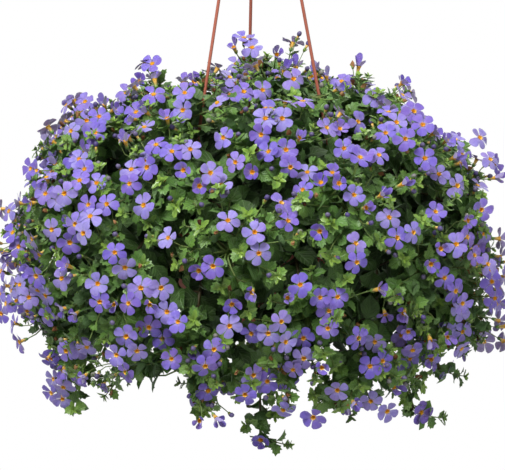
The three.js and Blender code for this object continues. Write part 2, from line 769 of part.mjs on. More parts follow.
// A head on a stalk of its own, which starts inside the stem that it is joined to.
function stalkedHead(head, outward) {
  const surface = new Surface();
  const facing = facingOf(head, head.foot, outward);
  const base = surface.ring(pointsRound(head.foot, facing, outward, STALK_RADIUS, evenTurns(3)));
  surface.floor(base);
  addHead(surface, base, headOf(head), head.point, facing);
  return surface.solid();
}

function trailMesh(trail, number) {
  const surface = new Surface();
  const stem = addStem(surface, trail, trail.side);
  surface.cap(stem, trail.tip);
  const heads = hangingHeads[number].map((head) => stalkedHead(head, trail.outward));
  return meshOf(fused([surface.solid(), ...heads]), `trail_${number + 1}`, LOOKS.leaf);
}

const stems = [...sprays.map(sprayRoute), ...trails];

const bacopa = new THREE.Group();
bacopa.name = "potted_bacopa";
bacopa.position.z = RIM_LEVEL;
bacopa.add(potMesh(), soilMesh(stems), hookMesh());
ROD_AZIMUTHS.forEach((azimuth, index) => bacopa.add(rodMesh(azimuth, index)));
sprays.forEach((spray) => bacopa.add(sprayMesh(spray)));
trails.forEach((trail, number) => bacopa.add(trailMesh(trail, number)));

export default bacopa;
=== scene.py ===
"""A bacopa in full flower in a hanging pot: the looks of its pot, hanger, stems, leaves and blooms.

Metres, +Z up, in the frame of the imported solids. Azimuth 0 faces the viewer along -Y, and positive
azimuths turn towards +X. The plant grows by the same rule as its solids, with the pot's rim at level
0, and each finished piece is then lowered to the rim's own level.
"""

import functools
import math
from dataclasses import dataclass

import bmesh
import bpy
from mathutils import Matrix, Quaternion, Vector, geometry, noise


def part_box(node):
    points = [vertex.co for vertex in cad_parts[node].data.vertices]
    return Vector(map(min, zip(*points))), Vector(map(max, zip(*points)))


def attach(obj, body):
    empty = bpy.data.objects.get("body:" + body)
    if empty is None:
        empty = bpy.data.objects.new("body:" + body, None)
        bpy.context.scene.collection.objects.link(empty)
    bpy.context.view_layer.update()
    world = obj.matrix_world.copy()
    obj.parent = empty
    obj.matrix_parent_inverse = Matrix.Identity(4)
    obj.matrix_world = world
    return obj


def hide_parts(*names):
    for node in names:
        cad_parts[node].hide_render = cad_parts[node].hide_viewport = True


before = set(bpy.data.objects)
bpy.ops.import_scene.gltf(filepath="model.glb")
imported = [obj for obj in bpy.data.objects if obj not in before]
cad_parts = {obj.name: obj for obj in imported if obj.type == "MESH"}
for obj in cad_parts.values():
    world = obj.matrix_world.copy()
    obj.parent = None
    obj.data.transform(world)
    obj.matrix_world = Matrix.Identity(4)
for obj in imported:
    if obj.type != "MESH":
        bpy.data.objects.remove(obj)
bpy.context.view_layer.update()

bl_info = {
    "name": "Hanging Bacopa",
    "version": (1, 0, 0),
    "blender": (4, 5, 0),
    "location": "3D View > Sidebar > Bacopa",
    "description": "Grows a flowering bacopa in a hanging pot",
    "category": "Object",
}

UP = Vector((0, 0, 1))
MM = 0.001

# Pot, soil and hanger, as the solids have them
RIM_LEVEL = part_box("pot")[1].z
RIM_RADIUS = 100 * MM
RIM_BAND = 18 * MM
RIM_STEP = 6 * MM
RIM_ROUNDING = 1.6 * MM
RIM_SHOULDER = (0.6 * MM, 0.5 * MM)
POT_HEIGHT = 115 * MM
BASE_RADIUS = 70 * MM
EDGE_CHAMFER = 1 * MM
WALL = 2.2 * MM
RIM_WALL = 4 * MM
FOOT = 1.5 * MM
FOOT_WIDTH = 6 * MM
DRAINS = 4
DRAIN_RADIUS = 5 * MM
DRAIN_RING = 40 * MM
DRAIN_SIDES = 20
SOIL_DROP = 18 * MM
ROOT_DEPTH = 14 * MM
CLEARANCE = 0.4 * MM
ROD_RADIUS = 1.6 * MM
ROD_AZIMUTHS = (-50, 69, 186)
ROD_TOP_RING = 4.6 * MM
HUB_HEIGHT = 415 * MM
HUB_RADIUS = 8 * MM
HUB_LENGTH = 12 * MM
HUB_CONE = 4 * MM
HUB_ROUNDING = 0.8 * MM
HUB_SHOULDER = 0.2 * MM
HUB_COLLAR = 1 * MM
HUB_SIDES = 40
LUG_RING = 90 * MM
LUG_SIZE = Vector((12, 16, 3)) * MM
LUG_DROP = 6 * MM
EYE_SIDES = 16
KNOB_DROP = 1 * MM
KNOB_RADIUS = 3.2 * MM
KNOB_LENGTH = 4 * MM
KNOB_ROUNDING = 0.8 * MM
KNOB_DOME = 0.3 * MM
KNOB_SIDES = 20
HOOK_RADIUS = 12 * MM
HOOK_WIRE = 2.3 * MM
HOOK_NECK = 20 * MM
HOOK_START = -50
HOOK_END = 205
HOOK_POINTS = 10
HOOK_STEPS = 5
HOOK_TIP_ROUNDING = 1.5 * MM
WIRE_SIDES = 14

# How far a cutter stands out of what it cuts, and how near two levels are that count as one
MARGIN = 1 * MM
SAME_LEVEL = 0.1 * MM

# Soil: its gap to the wall, and its surface with the grain of its lumps and crumbs
SOIL_GAP = WALL + 1.5 * CLEARANCE
SOIL_RINGS = 22
LUMP_GRAIN = 90
CRUMB_GRAIN = 260
CRUMB_SHARE = 0.7
CRUMB_TOP = 0.6

# The bush's form, as the solids have it
BUSH_RADIUS = 243 * MM
CROWN_HEIGHT = 158 * MM
CROWN_POWER = 1.85
SKIRT_DEPTH = 252 * MM
BUSH_CENTRE = -20 * MM
HEM = math.radians(127)
AREA_STEPS = 200
GOLDEN = 137.508

# Sprays, as the solids have them
SPRAYS = 36
FIRST_AZIMUTH = 38
NODE_DEPTH = 34 * MM
NODE_ROOM = 24 * MM
NODE_THICKNESS = 6 * MM
SIDE_SHOOTS = 6
SIDE_SHOOT_LENGTH = 52 * MM
SIDE_SHOOT_VARIETY = 0.18
SIDE_SHOOT_STEEPNESS = 0.36
SIDE_SHOOT_BELOW = 0.55
SIDE_SHOOT_GAP = 0.08
SIDE_SHOOT_SWAY = 0.16
SIDE_SHOOT_ARCH = 0.14
SIDE_SHOOT_BENDS = (0.35, 0.7)
STALK_BESIDE = 0.2
ROD_BESIDE = 0.7
ROD_MARGIN = 5 * MM
STEM_CREST = 60 * MM
STEM_CREST_INSIDE = 0.5
STEM_LEAN = 3 * MM
STEM_OVERHANG = 50 * MM
STEM_SAG = 14 * MM
STEM_BEND = 0.75
STEM_ARRIVAL = 26 * MM
ROOT_RING = 76 * MM

# Heads, as the solids have them
HEADS = 242
FIRST_HEAD_AZIMUTH = 7
HEAD_SHIFT = 10 * MM
HEAD_TILT = 0.9
HEAD_OUTWARD = 0.5
HEAD_UPWARD = 0.15
HEAD_GIVE = 0.6
HEAD_ATTEMPTS = 12
BLOOM_ROOM = 15.5 * MM
ROSETTE_ROOM = 17 * MM
BLOOM_LIFT = 14 * MM
BLOOM_SUNK_SHARE = 0.3
YOUNG_SHARE = 0.15

# Trails, as the solids have them: azimuth, distance of the tip from the pot's axis, level of the tip
TRAILS = (
    (2, 112 * MM, -212 * MM),
    (53, 190 * MM, -186 * MM),
    (102, 192 * MM, -184 * MM),
    (137, 176 * MM, -196 * MM),
    (174, 140 * MM, -206 * MM),
    (221, 182 * MM, -192 * MM),
    (292, 192 * MM, -182 * MM),
    (336, 128 * MM, -172 * MM),
)
TRAIL_ROOT_RING = 82 * MM
TRAIL_THROAT_RING = 124 * MM
TRAIL_THROAT_LEVEL = -70 * MM
TRAIL_THROAT_BEND = 2 * MM
TRAIL_DROP = 50 * MM
TRAIL_SAG = 16 * MM
TRAIL_FLARE = 6 * MM
TRAIL_PLUMB = 60 * MM
TRAIL_HEADS = 5
TRAIL_SPACING = 24 * MM
TRAIL_TIP_SHARE = 0.3
TRAIL_ASIDE = (14 * MM, 20 * MM)
TRAIL_OUT = (8 * MM, 16 * MM)
TRAIL_HANG = 8 * MM
TRAIL_TUFT_EVERY = 3

# Shoots that scene.py adds at the hem: number, unevenness, polar angles, and how far they stand out
HEM_SHOOTS = 48
HEM_UNEVEN = 0.3
HEM_POLAR = (114, 124)
HEM_PROUD = (-2 * MM, 12 * MM)

# Twigs that scene.py adds to the trails, and how each of them bends
TWIGS = 9
FIRST_TWIG = 8 * MM
TWIG_SPACING = 16 * MM
TWIG_LENGTH = (20 * MM, 34 * MM)
TWIG_TRAIL_TURN = 60
TWIG_OUT = (0.35, 1)
TWIG_SPREAD = 0.8
TWIG_DROP = 0.45
TWIG_BENDS = (0.35, 0.3)

# Sprigs that stand out of the bush: azimuth, polar angle, and how far they stand out
SPRIGS = (
    (190, 8, 13 * MM),
    (-130, 10, 14 * MM),
    (118, 14, 20 * MM),
    (-112, 38, 14 * MM),
    (-96, 59, 16 * MM),
    (-92, 67, 12 * MM),
    (95, 35, 12 * MM),
    (90, 48, 14 * MM),
    (96, 72, 16 * MM),
    (84, 112, 18 * MM),
    (-84, 104, 14 * MM),
    (-96, 110, 16 * MM),
    (-60, 124, 14 * MM),
    (14, 124, 18 * MM),
    (-10, 125, 14 * MM),
    (36, 126, 14 * MM),
    (160, 60, 14 * MM),
    (-150, 75, 16 * MM),
    (140, 95, 14 * MM),
    (-170, 112, 16 * MM),
    (-90, 98, 13 * MM),
    (-80, 116, 20 * MM),
    (86, 118, 14 * MM),
)

# Dips in the bush's outline as seen from the front: direction from its middle, half width, and reach
DIPS = (
    (168, 5.5, 229 * MM),
    (134, 5.5, 189 * MM),
    (115.5, 8, 160 * MM),
    (103, 4.5, 163 * MM),
    (66.5, 5, 168 * MM),
    (49.5, 3.5, 178 * MM),
    (33.5, 5, 195 * MM),
    (22.5, 4.5, 218 * MM),
    (5, 6.5, 221 * MM),
    (-36.5, 5.5, 208 * MM),
    (-73.5, 5.5, 165 * MM),
    (-121, 9.5, 143 * MM),
    (-153, 4.5, 228 * MM),
)
DIP_MIDDLE = -30 * MM

# The side that the plant is seen from, and how far down its front rods show: azimuth and level
SEEN_FROM = math.radians(11)
FRONT = Vector((0, -math.cos(SEEN_FROM), math.sin(SEEN_FROM)))
ABOVE = Vector((0, FRONT.z, -FRONT.y))
SEEN_RODS = ((ROD_AZIMUTHS[0], 68 * MM), (ROD_AZIMUTHS[1], 98 * MM))

# Rooms round a shoot's tip, and beside a rod that shows for a tip, a bunch's bloom and a leaf
SHOOT_ROOM = 12 * MM
TIP_BESIDE = 10 * MM
BUNCH_BESIDE = 14.5 * MM
LEAF_BESIDE = 5 * MM

# Where bunches of blooms crowd together, and where leaves show between them
BUNCH_GRAIN = 15
CROWD_MEAN = 0.46
CROWD_CONTRAST = 2.2
SPARSE_CROWD = 0.2
SPARSE_YOUNG_SHARE = 0.3
CREST_LEVEL = 112 * MM
CREST_CROWD = 0.5

# Heads: how a stalk bends, a rosette's tuft, and the sizes and tints of cups and open blooms
STALK_OUTWARD = 0.4
STALK_PULL = 0.4
STALK_LAST_PULL = 0.35
ROSETTE_SUNK = 5 * MM
ROSETTE_SIZE = 1.35
ROSETTE_TINT = 0.75
ROSETTE_PAIRS = 4
CUP_SIZE = 1.05
CUP_TINTS = (0.6, 1)
BLOOM_SIZES = (0.94, 1.08)
BLOOM_TINTS = (0, 0.55)
BLOOM_ROLL = 0.5
TINT_POWER = 1.5
FULL_BLOOM_WIDTH = 24 * MM

# A bloom's neck lies this far behind its mouth, and it turns by so much to the side it is seen from
NECK = 9 * MM
TURNED_FROM = 0.45
TURNED_SHARE = 0.55

# Bunches of blooms beside a head: how many it has at most, how likely each is, and where it stands
BUNCH_SIZE = 5
BUNCH_UNEVEN = 0.5
BUNCH_LEAST = 0.18
BUNCH_MORE = 0.8
BUNCH_HEM = -150 * MM
BUNCH_RISE = 0.2
BUNCH_ASIDE = (15 * MM, 20 * MM)
BUNCH_DEPTH = (-6 * MM, 8 * MM)
BUNCH_FOOT = (0.35, 0.75)
BUNCH_ALONG = 0.6

# A bunch's bloom: how much it faces like its head, away from it, out of the bush and its own way, and
# its size and tint, which is deeper for cups and buds
BUNCH_FACING = 0.5
BUNCH_AWAY = 0.3
BUNCH_OUTWARD = 0.6
BUNCH_TILT = 0.55
BUNCH_SIZES = (0.92, 1.06)
BUNCH_TINTS = (0, 0.6)
BUNCH_DEEP_TINTS = (0.4, 1)

# Each kind of bloom in a bunch, with the share of draws up to which it is chosen, and its room
BLOOM_SPACE = 7.5 * MM
BUNCH_KINDS = (
    ("bloom", 0.57, BLOOM_SPACE),
    ("cup", 0.72, 6.5 * MM),
    ("bud", 0.89, 4 * MM),
    ("spent", 1, 4 * MM),
)
TIGHT_ROOM = 3 * MM
TIGHT_BARE_SHARE = 0.45
TIGHT_BUD_SHARE = 0.6

# Filler shoots: how they bend, and the buds beside their tips
FILLER_PULL = 0.45
FILLER_STRAY = 0.5
FILLER_STRAIGHTENED = 0.6
NO_BUD_SHARE = 0.35
SPENT_SHARE = 0.4
BUD_ASIDE = (6 * MM, 9 * MM)
BUD_BELOW = (1 * MM, 7 * MM)
BUD_LEAN = 0.9
BUD_FOOT = 14 * MM
BUD_FOOT_PULL = 9 * MM
BUD_NECK_PULL = 2 * MM

# Old shoots inside the dome: the shares of a stem from which they start, and how they bend
INNER_FEET = (0.55, 0.65, 0.75, 0.85, 0.95)
INNER_PULL = 0.4

# Leaves up to this share of a shoot are hidden ones, which are plainer
HIDDEN_SHARE = 0.36

# Keys pick the draws of a shoot: where each kind's keys start, and how many a head, tuft and shoot have
SIDE_SHOOT_KEYS = 500
TRAIL_KEYS = 700
TWIG_KEYS = 800
HEAD_KEYS = 1000
FILLER_KEYS = 3000
BUD_KEYS = (5000, 5300)
SPRIG_KEYS = 6000
INNER_KEYS = 7000
BUNCH_KEYS = 9000
BUNCH_BLOOM_KEYS = 7
KEYS_PER_HEAD = 8
KEYS_PER_TUFT = 16
KEYS_PER_SHOOT = 64

# The camera's picture: width and middle row in pixels, the row of the pot's rim, and a pixel's size
PICTURE_WIDTH = 505
MIDDLE_ROW = 235
RIM_ROW = 200
PIXEL = 1 * MM
CAMERA_ASIDE = -3.5 * MM
SENSOR = 36

# Stage: half the floor's width, the world's light with what the camera sees more, and the lamps,
# each with its place, size and power
FLOOR_SIZE = 40
WORLD_LIGHT = 0.25
WORLD_SEEN = 0.75
LAMPS = (
    ("key", Vector((-0.8, -1.4, 1.5)), 1.1, 84),
    ("fill", Vector((1.7, -1.5, 0.2)), 1.8, 18),
    ("back", Vector((0.3, 1.8, 1.3)), 1.5, 26),
)

# Fixed colours, and how much of each channel the deepest gold keeps
FLOOR_GREY = (0.6, 0.6, 0.6)
WHITE = (1, 1, 1)
VEIN_GREEN = (0.26, 0.4, 0.16)
LEAF_BACK = (0.2, 0.32, 0.17)
ROSY = (0.265, 0.15, 0.54)
PETAL_HALO = (0.55, 0.48, 0.8)
PETAL_BACK = (0.6, 0.52, 0.84)
TUBE_FOOT = (0.5, 0.55, 0.25)
TUBE = (0.8, 0.5, 0.12)
MOUTH = (0.9, 0.56, 0.04)
# The darkest gold gives the throat its marks, and also paints shade at the bottom of its hollow
DEEP_GOLD = (0.62, 0.42, 0.5)
STEM_COLOURS = (
    (0.0, (0.06, 0.03, 0.018)),
    (0.35, (0.1, 0.09, 0.03)),
    (0.6, (0.16, 0.26, 0.06)),
    (1.0, (0.3, 0.42, 0.12)),
)
BUD_COLOURS = ((0.0, (0.2, 0.2, 0.16)), (0.4, (0.13, 0.11, 0.2)), (1.0, (0.07, 0.05, 0.18)))
SPENT_COLOURS = ((0.2, (0.07, 0.025, 0.012)), (0.6, (0.21, 0.09, 0.035)), (1.0, (0.37, 0.21, 0.09)))


class PotSizes(bpy.types.PropertyGroup):
    turn_steps: bpy.props.IntProperty(
        name="Turning steps",
        description="How finely the pot is turned",
        default=96,
        min=24,
    )
    edge_radius: bpy.props.FloatProperty(
        name="Edge radius",
        description="Radius of the pot's moulded edges",
        default=0.6 * MM,
        subtype="DISTANCE",
        unit="LENGTH",
    )
    crumb_height: bpy.props.FloatProperty(
        name="Crumb height",
        description="How far the soil's surface sinks between its crumbs",
        default=2.4 * MM,
        subtype="DISTANCE",
        unit="LENGTH",
    )
    pot_colour: bpy.props.FloatVectorProperty(
        name="Pot",
        description="Colour of the pot's plastic",
        subtype="COLOR",
        default=(0.33, 0.07, 0.035),
    )
    hanger_colour: bpy.props.FloatVectorProperty(
        name="Hanger",
        description="Colour of the hanger's plastic",
        subtype="COLOR",
        default=(0.4, 0.115, 0.07),
    )
    soil_colour: bpy.props.FloatVectorProperty(
        name="Soil",
        description="Colour of the moist soil",
        subtype="COLOR",
        default=(0.025, 0.014, 0.009),
    )


class PlantSizes(bpy.types.PropertyGroup):
    leaf_length: bpy.props.FloatProperty(
        name="Leaf length",
        description="Length of a grown leaf",
        default=18 * MM,
        subtype="DISTANCE",
        unit="LENGTH",
    )
    tip_leaf_length: bpy.props.FloatProperty(
        name="Tip leaf length",
        description="Length of the youngest leaves at a shoot's tip",
        default=8 * MM,
        subtype="DISTANCE",
        unit="LENGTH",
    )
    pair_spacing: bpy.props.FloatProperty(
        name="Pair spacing",
        description="Distance between two pairs of leaves on a stem",
        default=9.5 * MM,
        subtype="DISTANCE",
        unit="LENGTH",
    )
    bloom_width: bpy.props.FloatProperty(
        name="Bloom width",
        description="Width of an open bloom",
        default=24 * MM,
        subtype="DISTANCE",
        unit="LENGTH",
    )
    petal_colour: bpy.props.FloatVectorProperty(
        name="Petal",
        description="Colour of an open bloom's petals",
        subtype="COLOR",
        default=(0.18, 0.13, 0.585),
    )
    young_colour: bpy.props.FloatVectorProperty(
        name="Young petal",
        description="Colour of a young bloom",
        subtype="COLOR",
        default=(0.1, 0.055, 0.42),
    )
    throat_colour: bpy.props.FloatVectorProperty(
        name="Throat",
        description="Colour of a bloom's throat",
        subtype="COLOR",
        default=(0.82, 0.42, 0.01),
    )
    leaf_colour: bpy.props.FloatVectorProperty(
        name="Leaf",
        description="Colour of a grown leaf",
        subtype="COLOR",
        default=(0.09, 0.216, 0.032),
    )
    tip_colour: bpy.props.FloatVectorProperty(
        name="Tip leaf",
        description="Colour of the youngest leaves",
        subtype="COLOR",
        default=(0.27, 0.44, 0.055),
    )


class StageSizes(bpy.types.PropertyGroup):
    camera_distance: bpy.props.FloatProperty(
        name="Camera distance",
        description="Distance from the camera to the plant",
        default=2.6,
        subtype="DISTANCE",
        unit="LENGTH",
    )
    camera_height: bpy.props.FloatProperty(
        name="Camera elevation",
        description="Angle from which the camera looks down",
        default=SEEN_FROM,
        subtype="ANGLE",
        unit="ROTATION",
    )
    floor_level: bpy.props.FloatProperty(
        name="Floor level",
        description="Level of the floor below the point that the pot hangs from",
        default=-1.6,
        subtype="DISTANCE",
        unit="LENGTH",
    )


# The growth rule that the solids follow

MIX = (12.9898, 78.233, 37.719)
MIX_SPREAD = 43758.5453


def chance(key, first, second):
    """A repeatable number from 0 to 1 for the key of a shoot or leaf and the two numbers of a draw."""
    mixed = math.sin(key * MIX[0] + first * MIX[1] + second * MIX[2]) * MIX_SPREAD
    return mixed - math.floor(mixed)


def lean(key, first, second):
    """A repeatable number from -1 to 1, picked as a chance is."""
    return 2 * chance(key, first, second) - 1


def wander(key, draw):
    """A repeatable way to stray from a course, up to 1 along each axis."""
    return Vector([lean(key, axis, draw) for axis in range(3)])


def between(low, high, share):
    return low + (high - low) * share


def polar_point(ring, azimuth, level):
    turn = math.radians(azimuth)
    return Vector((ring * math.sin(turn), -ring * math.cos(turn), level))


def reach(polar):
    """How far the bush reaches from its middle at a polar angle from straight up."""
    below = polar > math.pi / 2
    power = 2 if below else CROWN_POWER
    height = SKIRT_DEPTH if below else CROWN_HEIGHT
    across = (math.sin(polar) / BUSH_RADIUS) ** power
    along = (abs(math.cos(polar)) / height) ** power
    return (across + along) ** (-1 / power)


def bush_point(polar, azimuth):
    """The point of the bush's surface at a polar angle and an azimuth."""
    ring = reach(polar) * math.sin(polar)
    return polar_point(ring, azimuth, BUSH_CENTRE + reach(polar) * math.cos(polar))


def bush_normal(point):
    """The way out of the bush at a point of its surface."""
    height = SKIRT_DEPTH if point.z < BUSH_CENTRE else CROWN_HEIGHT
    across = point.xy / BUSH_RADIUS**2
    return Vector((across.x, across.y, (point.z - BUSH_CENTRE) / height**2)).normalized()


def proud_point(azimuth, degrees, proud):
    """The point that stands out of the bush by so much, at a polar angle in degrees."""
    point = bush_point(math.radians(degrees), azimuth)
    return point + bush_normal(point) * proud


def areas_above():
    """The bush's area, up to a factor, above each of the steps from the top to the hem."""
    areas = [0]
    for i in range(1, AREA_STEPS + 1):
        a, b = (i - 1) * HEM / AREA_STEPS, i * HEM / AREA_STEPS
        ring_a, ring_b = reach(a) * math.sin(a), reach(b) * math.sin(b)
        slope = math.hypot(ring_a - ring_b, reach(a) * math.cos(a) - reach(b) * math.cos(b))
        areas.append(areas[-1] + slope * (ring_a + ring_b))
    return areas


AREAS_ABOVE = areas_above()


def polar_at_share(share):
    """The polar angle above which the given share of the bush's area lies."""
    wanted = share * AREAS_ABOVE[-1]
    i = next(i for i, area in enumerate(AREAS_ABOVE) if area >= wanted)
    part = (wanted - AREAS_ABOVE[i - 1]) / (AREAS_ABOVE[i] - AREAS_ABOVE[i - 1])
    return (i - 1 + part) * HEM / AREA_STEPS


@dataclass
class Place:
    """One of a number of places spread evenly over the bush by the golden angle, from its top down."""

    index: int
    count: int
    first_azimuth: float

    def __post_init__(self):
        self.azimuth = (self.first_azimuth + self.index * GOLDEN) % 360
        self.point = bush_point(polar_at_share((self.index + 0.5) / self.count), self.azimuth)
        self.normal = bush_normal(self.point)


@dataclass(frozen=True)
class Spread:
    """Shoots spread evenly over the bush: their number, first azimuth, and how deep their tips lie."""

    count: int
    first_azimuth: float
    depths: tuple
    draw: int

    def tips(self):
        """Each shoot's index, its place on the bush's surface, and its tip."""
        for index in range(self.count):
            place = Place(index, self.count, self.first_azimuth)
            depth = between(*self.depths, chance(index, 4, self.draw))
            yield index, place, place.point - place.normal * depth


FILLERS = Spread(count=330, first_azimuth=71, depths=(-7 * MM, 9 * MM), draw=31)
INNER_SHOOTS = Spread(count=230, first_azimuth=19, depths=(48 * MM, 72 * MM), draw=33)
OLD_SHOOTS = Spread(count=80, first_azimuth=53, depths=(84 * MM, 110 * MM), draw=35)
FILLER_DRIFT = 10 * MM


def rod_ends(azimuth):
    foot = polar_point(LUG_RING, azimuth, -LUG_DROP - LUG_SIZE.z - KNOB_DROP)
    return foot, polar_point(ROD_TOP_RING, azimuth, HUB_HEIGHT)


def nearest_on_rod(azimuth, point):
    foot, top = rod_ends(azimuth)
    share = geometry.intersect_point_line(point, foot, top)[1]
    return foot.lerp(top, min(max(share, 0), 1))


def clear_of_rods(point, room):
    """The point, moved out of the way of the hanger's rods."""
    for azimuth in ROD_AZIMUTHS:
        nearest = nearest_on_rod(azimuth, point)
        lack = room + ROD_RADIUS + CLEARANCE - (nearest - point).length
        if lack > 0:
            point = point + (point - nearest).normalized() * lack
    return point


def seen_on_rod(azimuth, level, point):
    """The place on a front rod that lies behind a point as seen from the front, if the rod shows there."""
    foot, top = rod_ends(azimuth)
    share = (point - foot).dot(ABOVE) / (top - foot).dot(ABOVE)
    behind = foot.lerp(top, min(max(share, 0), 1))
    return behind if behind.z > level and (point - behind).dot(FRONT) > 0 else None


def drawn_aside(point, room):
    """The point, moved sideways where it would hide a front rod."""
    for azimuth, level in SEEN_RODS:
        behind = seen_on_rod(azimuth, level, point)
        if behind and abs(point.x - behind.x) < room:
            point = Vector((behind.x + math.copysign(room, point.x - behind.x), point.y, point.z))
    return point


def hides_rod(point, room):
    return (drawn_aside(point, room) - point).length > 0


def out_of_dip(point):
    """The way in from a point to the bush's outline where that dips, or no way at all elsewhere."""
    across, up = point.x, point.dot(ABOVE) - DIP_MIDDLE
    direction, distance = math.degrees(math.atan2(up, across)), math.hypot(across, up)
    for middle, half_width, dip_reach in DIPS:
        off = abs((direction - middle + 180) % 360 - 180)
        if off < half_width and distance > dip_reach:
            return (Vector((across, 0, 0)) + ABOVE * up) * (dip_reach / distance - 1)
    return Vector((0, 0, 0))


class Line:
    """A smooth line that a stem follows, with everything that grows on it."""

    def __init__(self, points):
        self.points = points
        self.marks = [0]
        for a, b in zip(points, points[1:]):
            self.marks.append(self.marks[-1] + (b - a).length)
        self.length = self.marks[-1]

    def at(self, distance):
        """The point at a distance along the line, and the way that the line goes there."""
        i = next((i for i, mark in enumerate(self.marks) if mark >= distance and i), len(self.marks) - 1)
        a, b = self.points[i - 1], self.points[i]
        share = (distance - self.marks[i - 1]) / (self.marks[i] - self.marks[i - 1])
        return a.lerp(b, share), (b - a).normalized()


def bent_line(start, first_pull, last_pull, end, steps):
    return Line(geometry.interpolate_bezier(start, first_pull, last_pull, end, steps + 1))


@dataclass
class Head:
    """A place for a bloom or a tuft of leaves, and what its stalk stands on."""

    index: int
    point: Vector
    foot: Vector = None
    is_rosette: bool = False

    @property
    def room(self):
        return (ROSETTE_ROOM if self.is_rosette else BLOOM_ROOM) + CLEARANCE


def facing_of(head, foot, outward):
    """The way a head faces: along its stalk and out of the bush, with a tilt of its own."""
    facing = (head.point - foot).normalized() + HEAD_OUTWARD * outward + HEAD_UPWARD * UP
    tilt = Vector([HEAD_TILT * (chance(head.index, key, 3) - 0.5) for key in (5, 6, 7)])
    return (facing + tilt).normalized()


def with_room(head, others):
    """The head, bent clear of the rods and of the heads that are there, or nothing without room."""
    for _ in range(HEAD_ATTEMPTS):
        head.point = clear_of_rods(head.point, head.room)
        near = [other for other in others if (other.point - head.point).length < other.room + head.room]
        if not near:
            return head
        for other in near:
            away = head.point - other.point
            lack = other.room + head.room - away.length
            head.point = head.point + away.normalized() * (HEAD_GIVE * lack + CLEARANCE / 2)
    return None


class Spray:
    """A leafy stem that fills its part of the dome: its root, its node, and all that grows from it."""

    def __init__(self, index):
        place = Place(index, SPRAYS, FIRST_AZIMUTH)
        self.index, self.point, self.normal, self.azimuth = index, place.point, place.normal, place.azimuth
        self.node = clear_of_rods(self.point - self.normal * NODE_DEPTH, NODE_ROOM)
        ring = ROOT_RING * math.sqrt((index + 0.5) / SPRAYS)
        self.root = polar_point(ring, self.azimuth, -SOIL_DROP - ROOT_DEPTH)
        self.side = polar_point(1, self.azimuth + 90, 0)
        self.slope = self.normal.cross(self.side)
        self.heads = []
        self.fillers = []
        self.inner = []
        self.sprigs = []

    def stem(self):
        ring = self.root.xy.length
        outward = min(max((STEM_CREST - self.node.z) / STEM_CREST, 0), 1)
        crest = between(STEM_CREST_INSIDE * self.node.z, STEM_CREST, outward)
        arrival = self.node - self.normal * STEM_ARRIVAL
        over = polar_point(ring + STEM_OVERHANG, self.azimuth, STEM_CREST - STEM_SAG)
        collar = Vector((*self.root.xy, -SOIL_DROP))
        rise = polar_point(ring + STEM_LEAN, self.azimuth, crest)
        end = self.node - self.normal * NODE_THICKNESS / 2
        last_pull = arrival.lerp(over, STEM_BEND * outward)
        bend = bent_line(collar, rise, last_pull, end, SPRAY_STEM.steps)
        return Line([self.root] + bend.points)

    def seen(self, point):
        """Where a point stands as seen from the node: its turn, how far out, and how far up."""
        way = point - self.node
        x, y = way.dot(self.side), way.dot(self.slope)
        return math.atan2(y, x), math.hypot(x, y), way.dot(self.normal)

    def near_turn(self, points, turn, share):
        views = [self.seen(point) for point in points]
        return [(out, up) for other, out, up in views if math.cos(other - turn) > share]

    def side_shoot(self, number):
        """The line of a side shoot, short of a rod that it would meet and below the stalks over it."""
        turn = math.radians(360 * (number + 0.5) / SIDE_SHOOTS)
        length = SIDE_SHOOT_LENGTH * (1 - SIDE_SHOOT_VARIETY * chance(self.index, number, 5))
        rods = self.near_turn([nearest_on_rod(a, self.node) for a in ROD_AZIMUTHS], turn, ROD_BESIDE)
        length = min([length] + [math.hypot(out, up) - ROD_MARGIN for out, up in rods])
        over = self.near_turn([head.point for head in self.heads], turn, STALK_BESIDE)
        free = [SIDE_SHOOT_BELOW * up / out - SIDE_SHOOT_GAP for out, up in over]
        steepness = min([SIDE_SHOOT_STEEPNESS] + free)
        way = self.side * math.cos(turn) + self.slope * math.sin(turn)
        tip = self.node + way * length + self.normal * length * steepness
        sideways = self.normal.cross(way) * SIDE_SHOOT_SWAY * length * lean(self.index, number, 21)
        lift = self.normal * SIDE_SHOOT_ARCH * length
        near, far = SIDE_SHOOT_BENDS
        first = self.node + way * near * length + sideways - lift
        last = self.node.lerp(tip, far) + sideways + lift * lean(self.index, number, 22)
        return bent_line(self.node, first, last, tip, SIDE_SHOOT.steps)


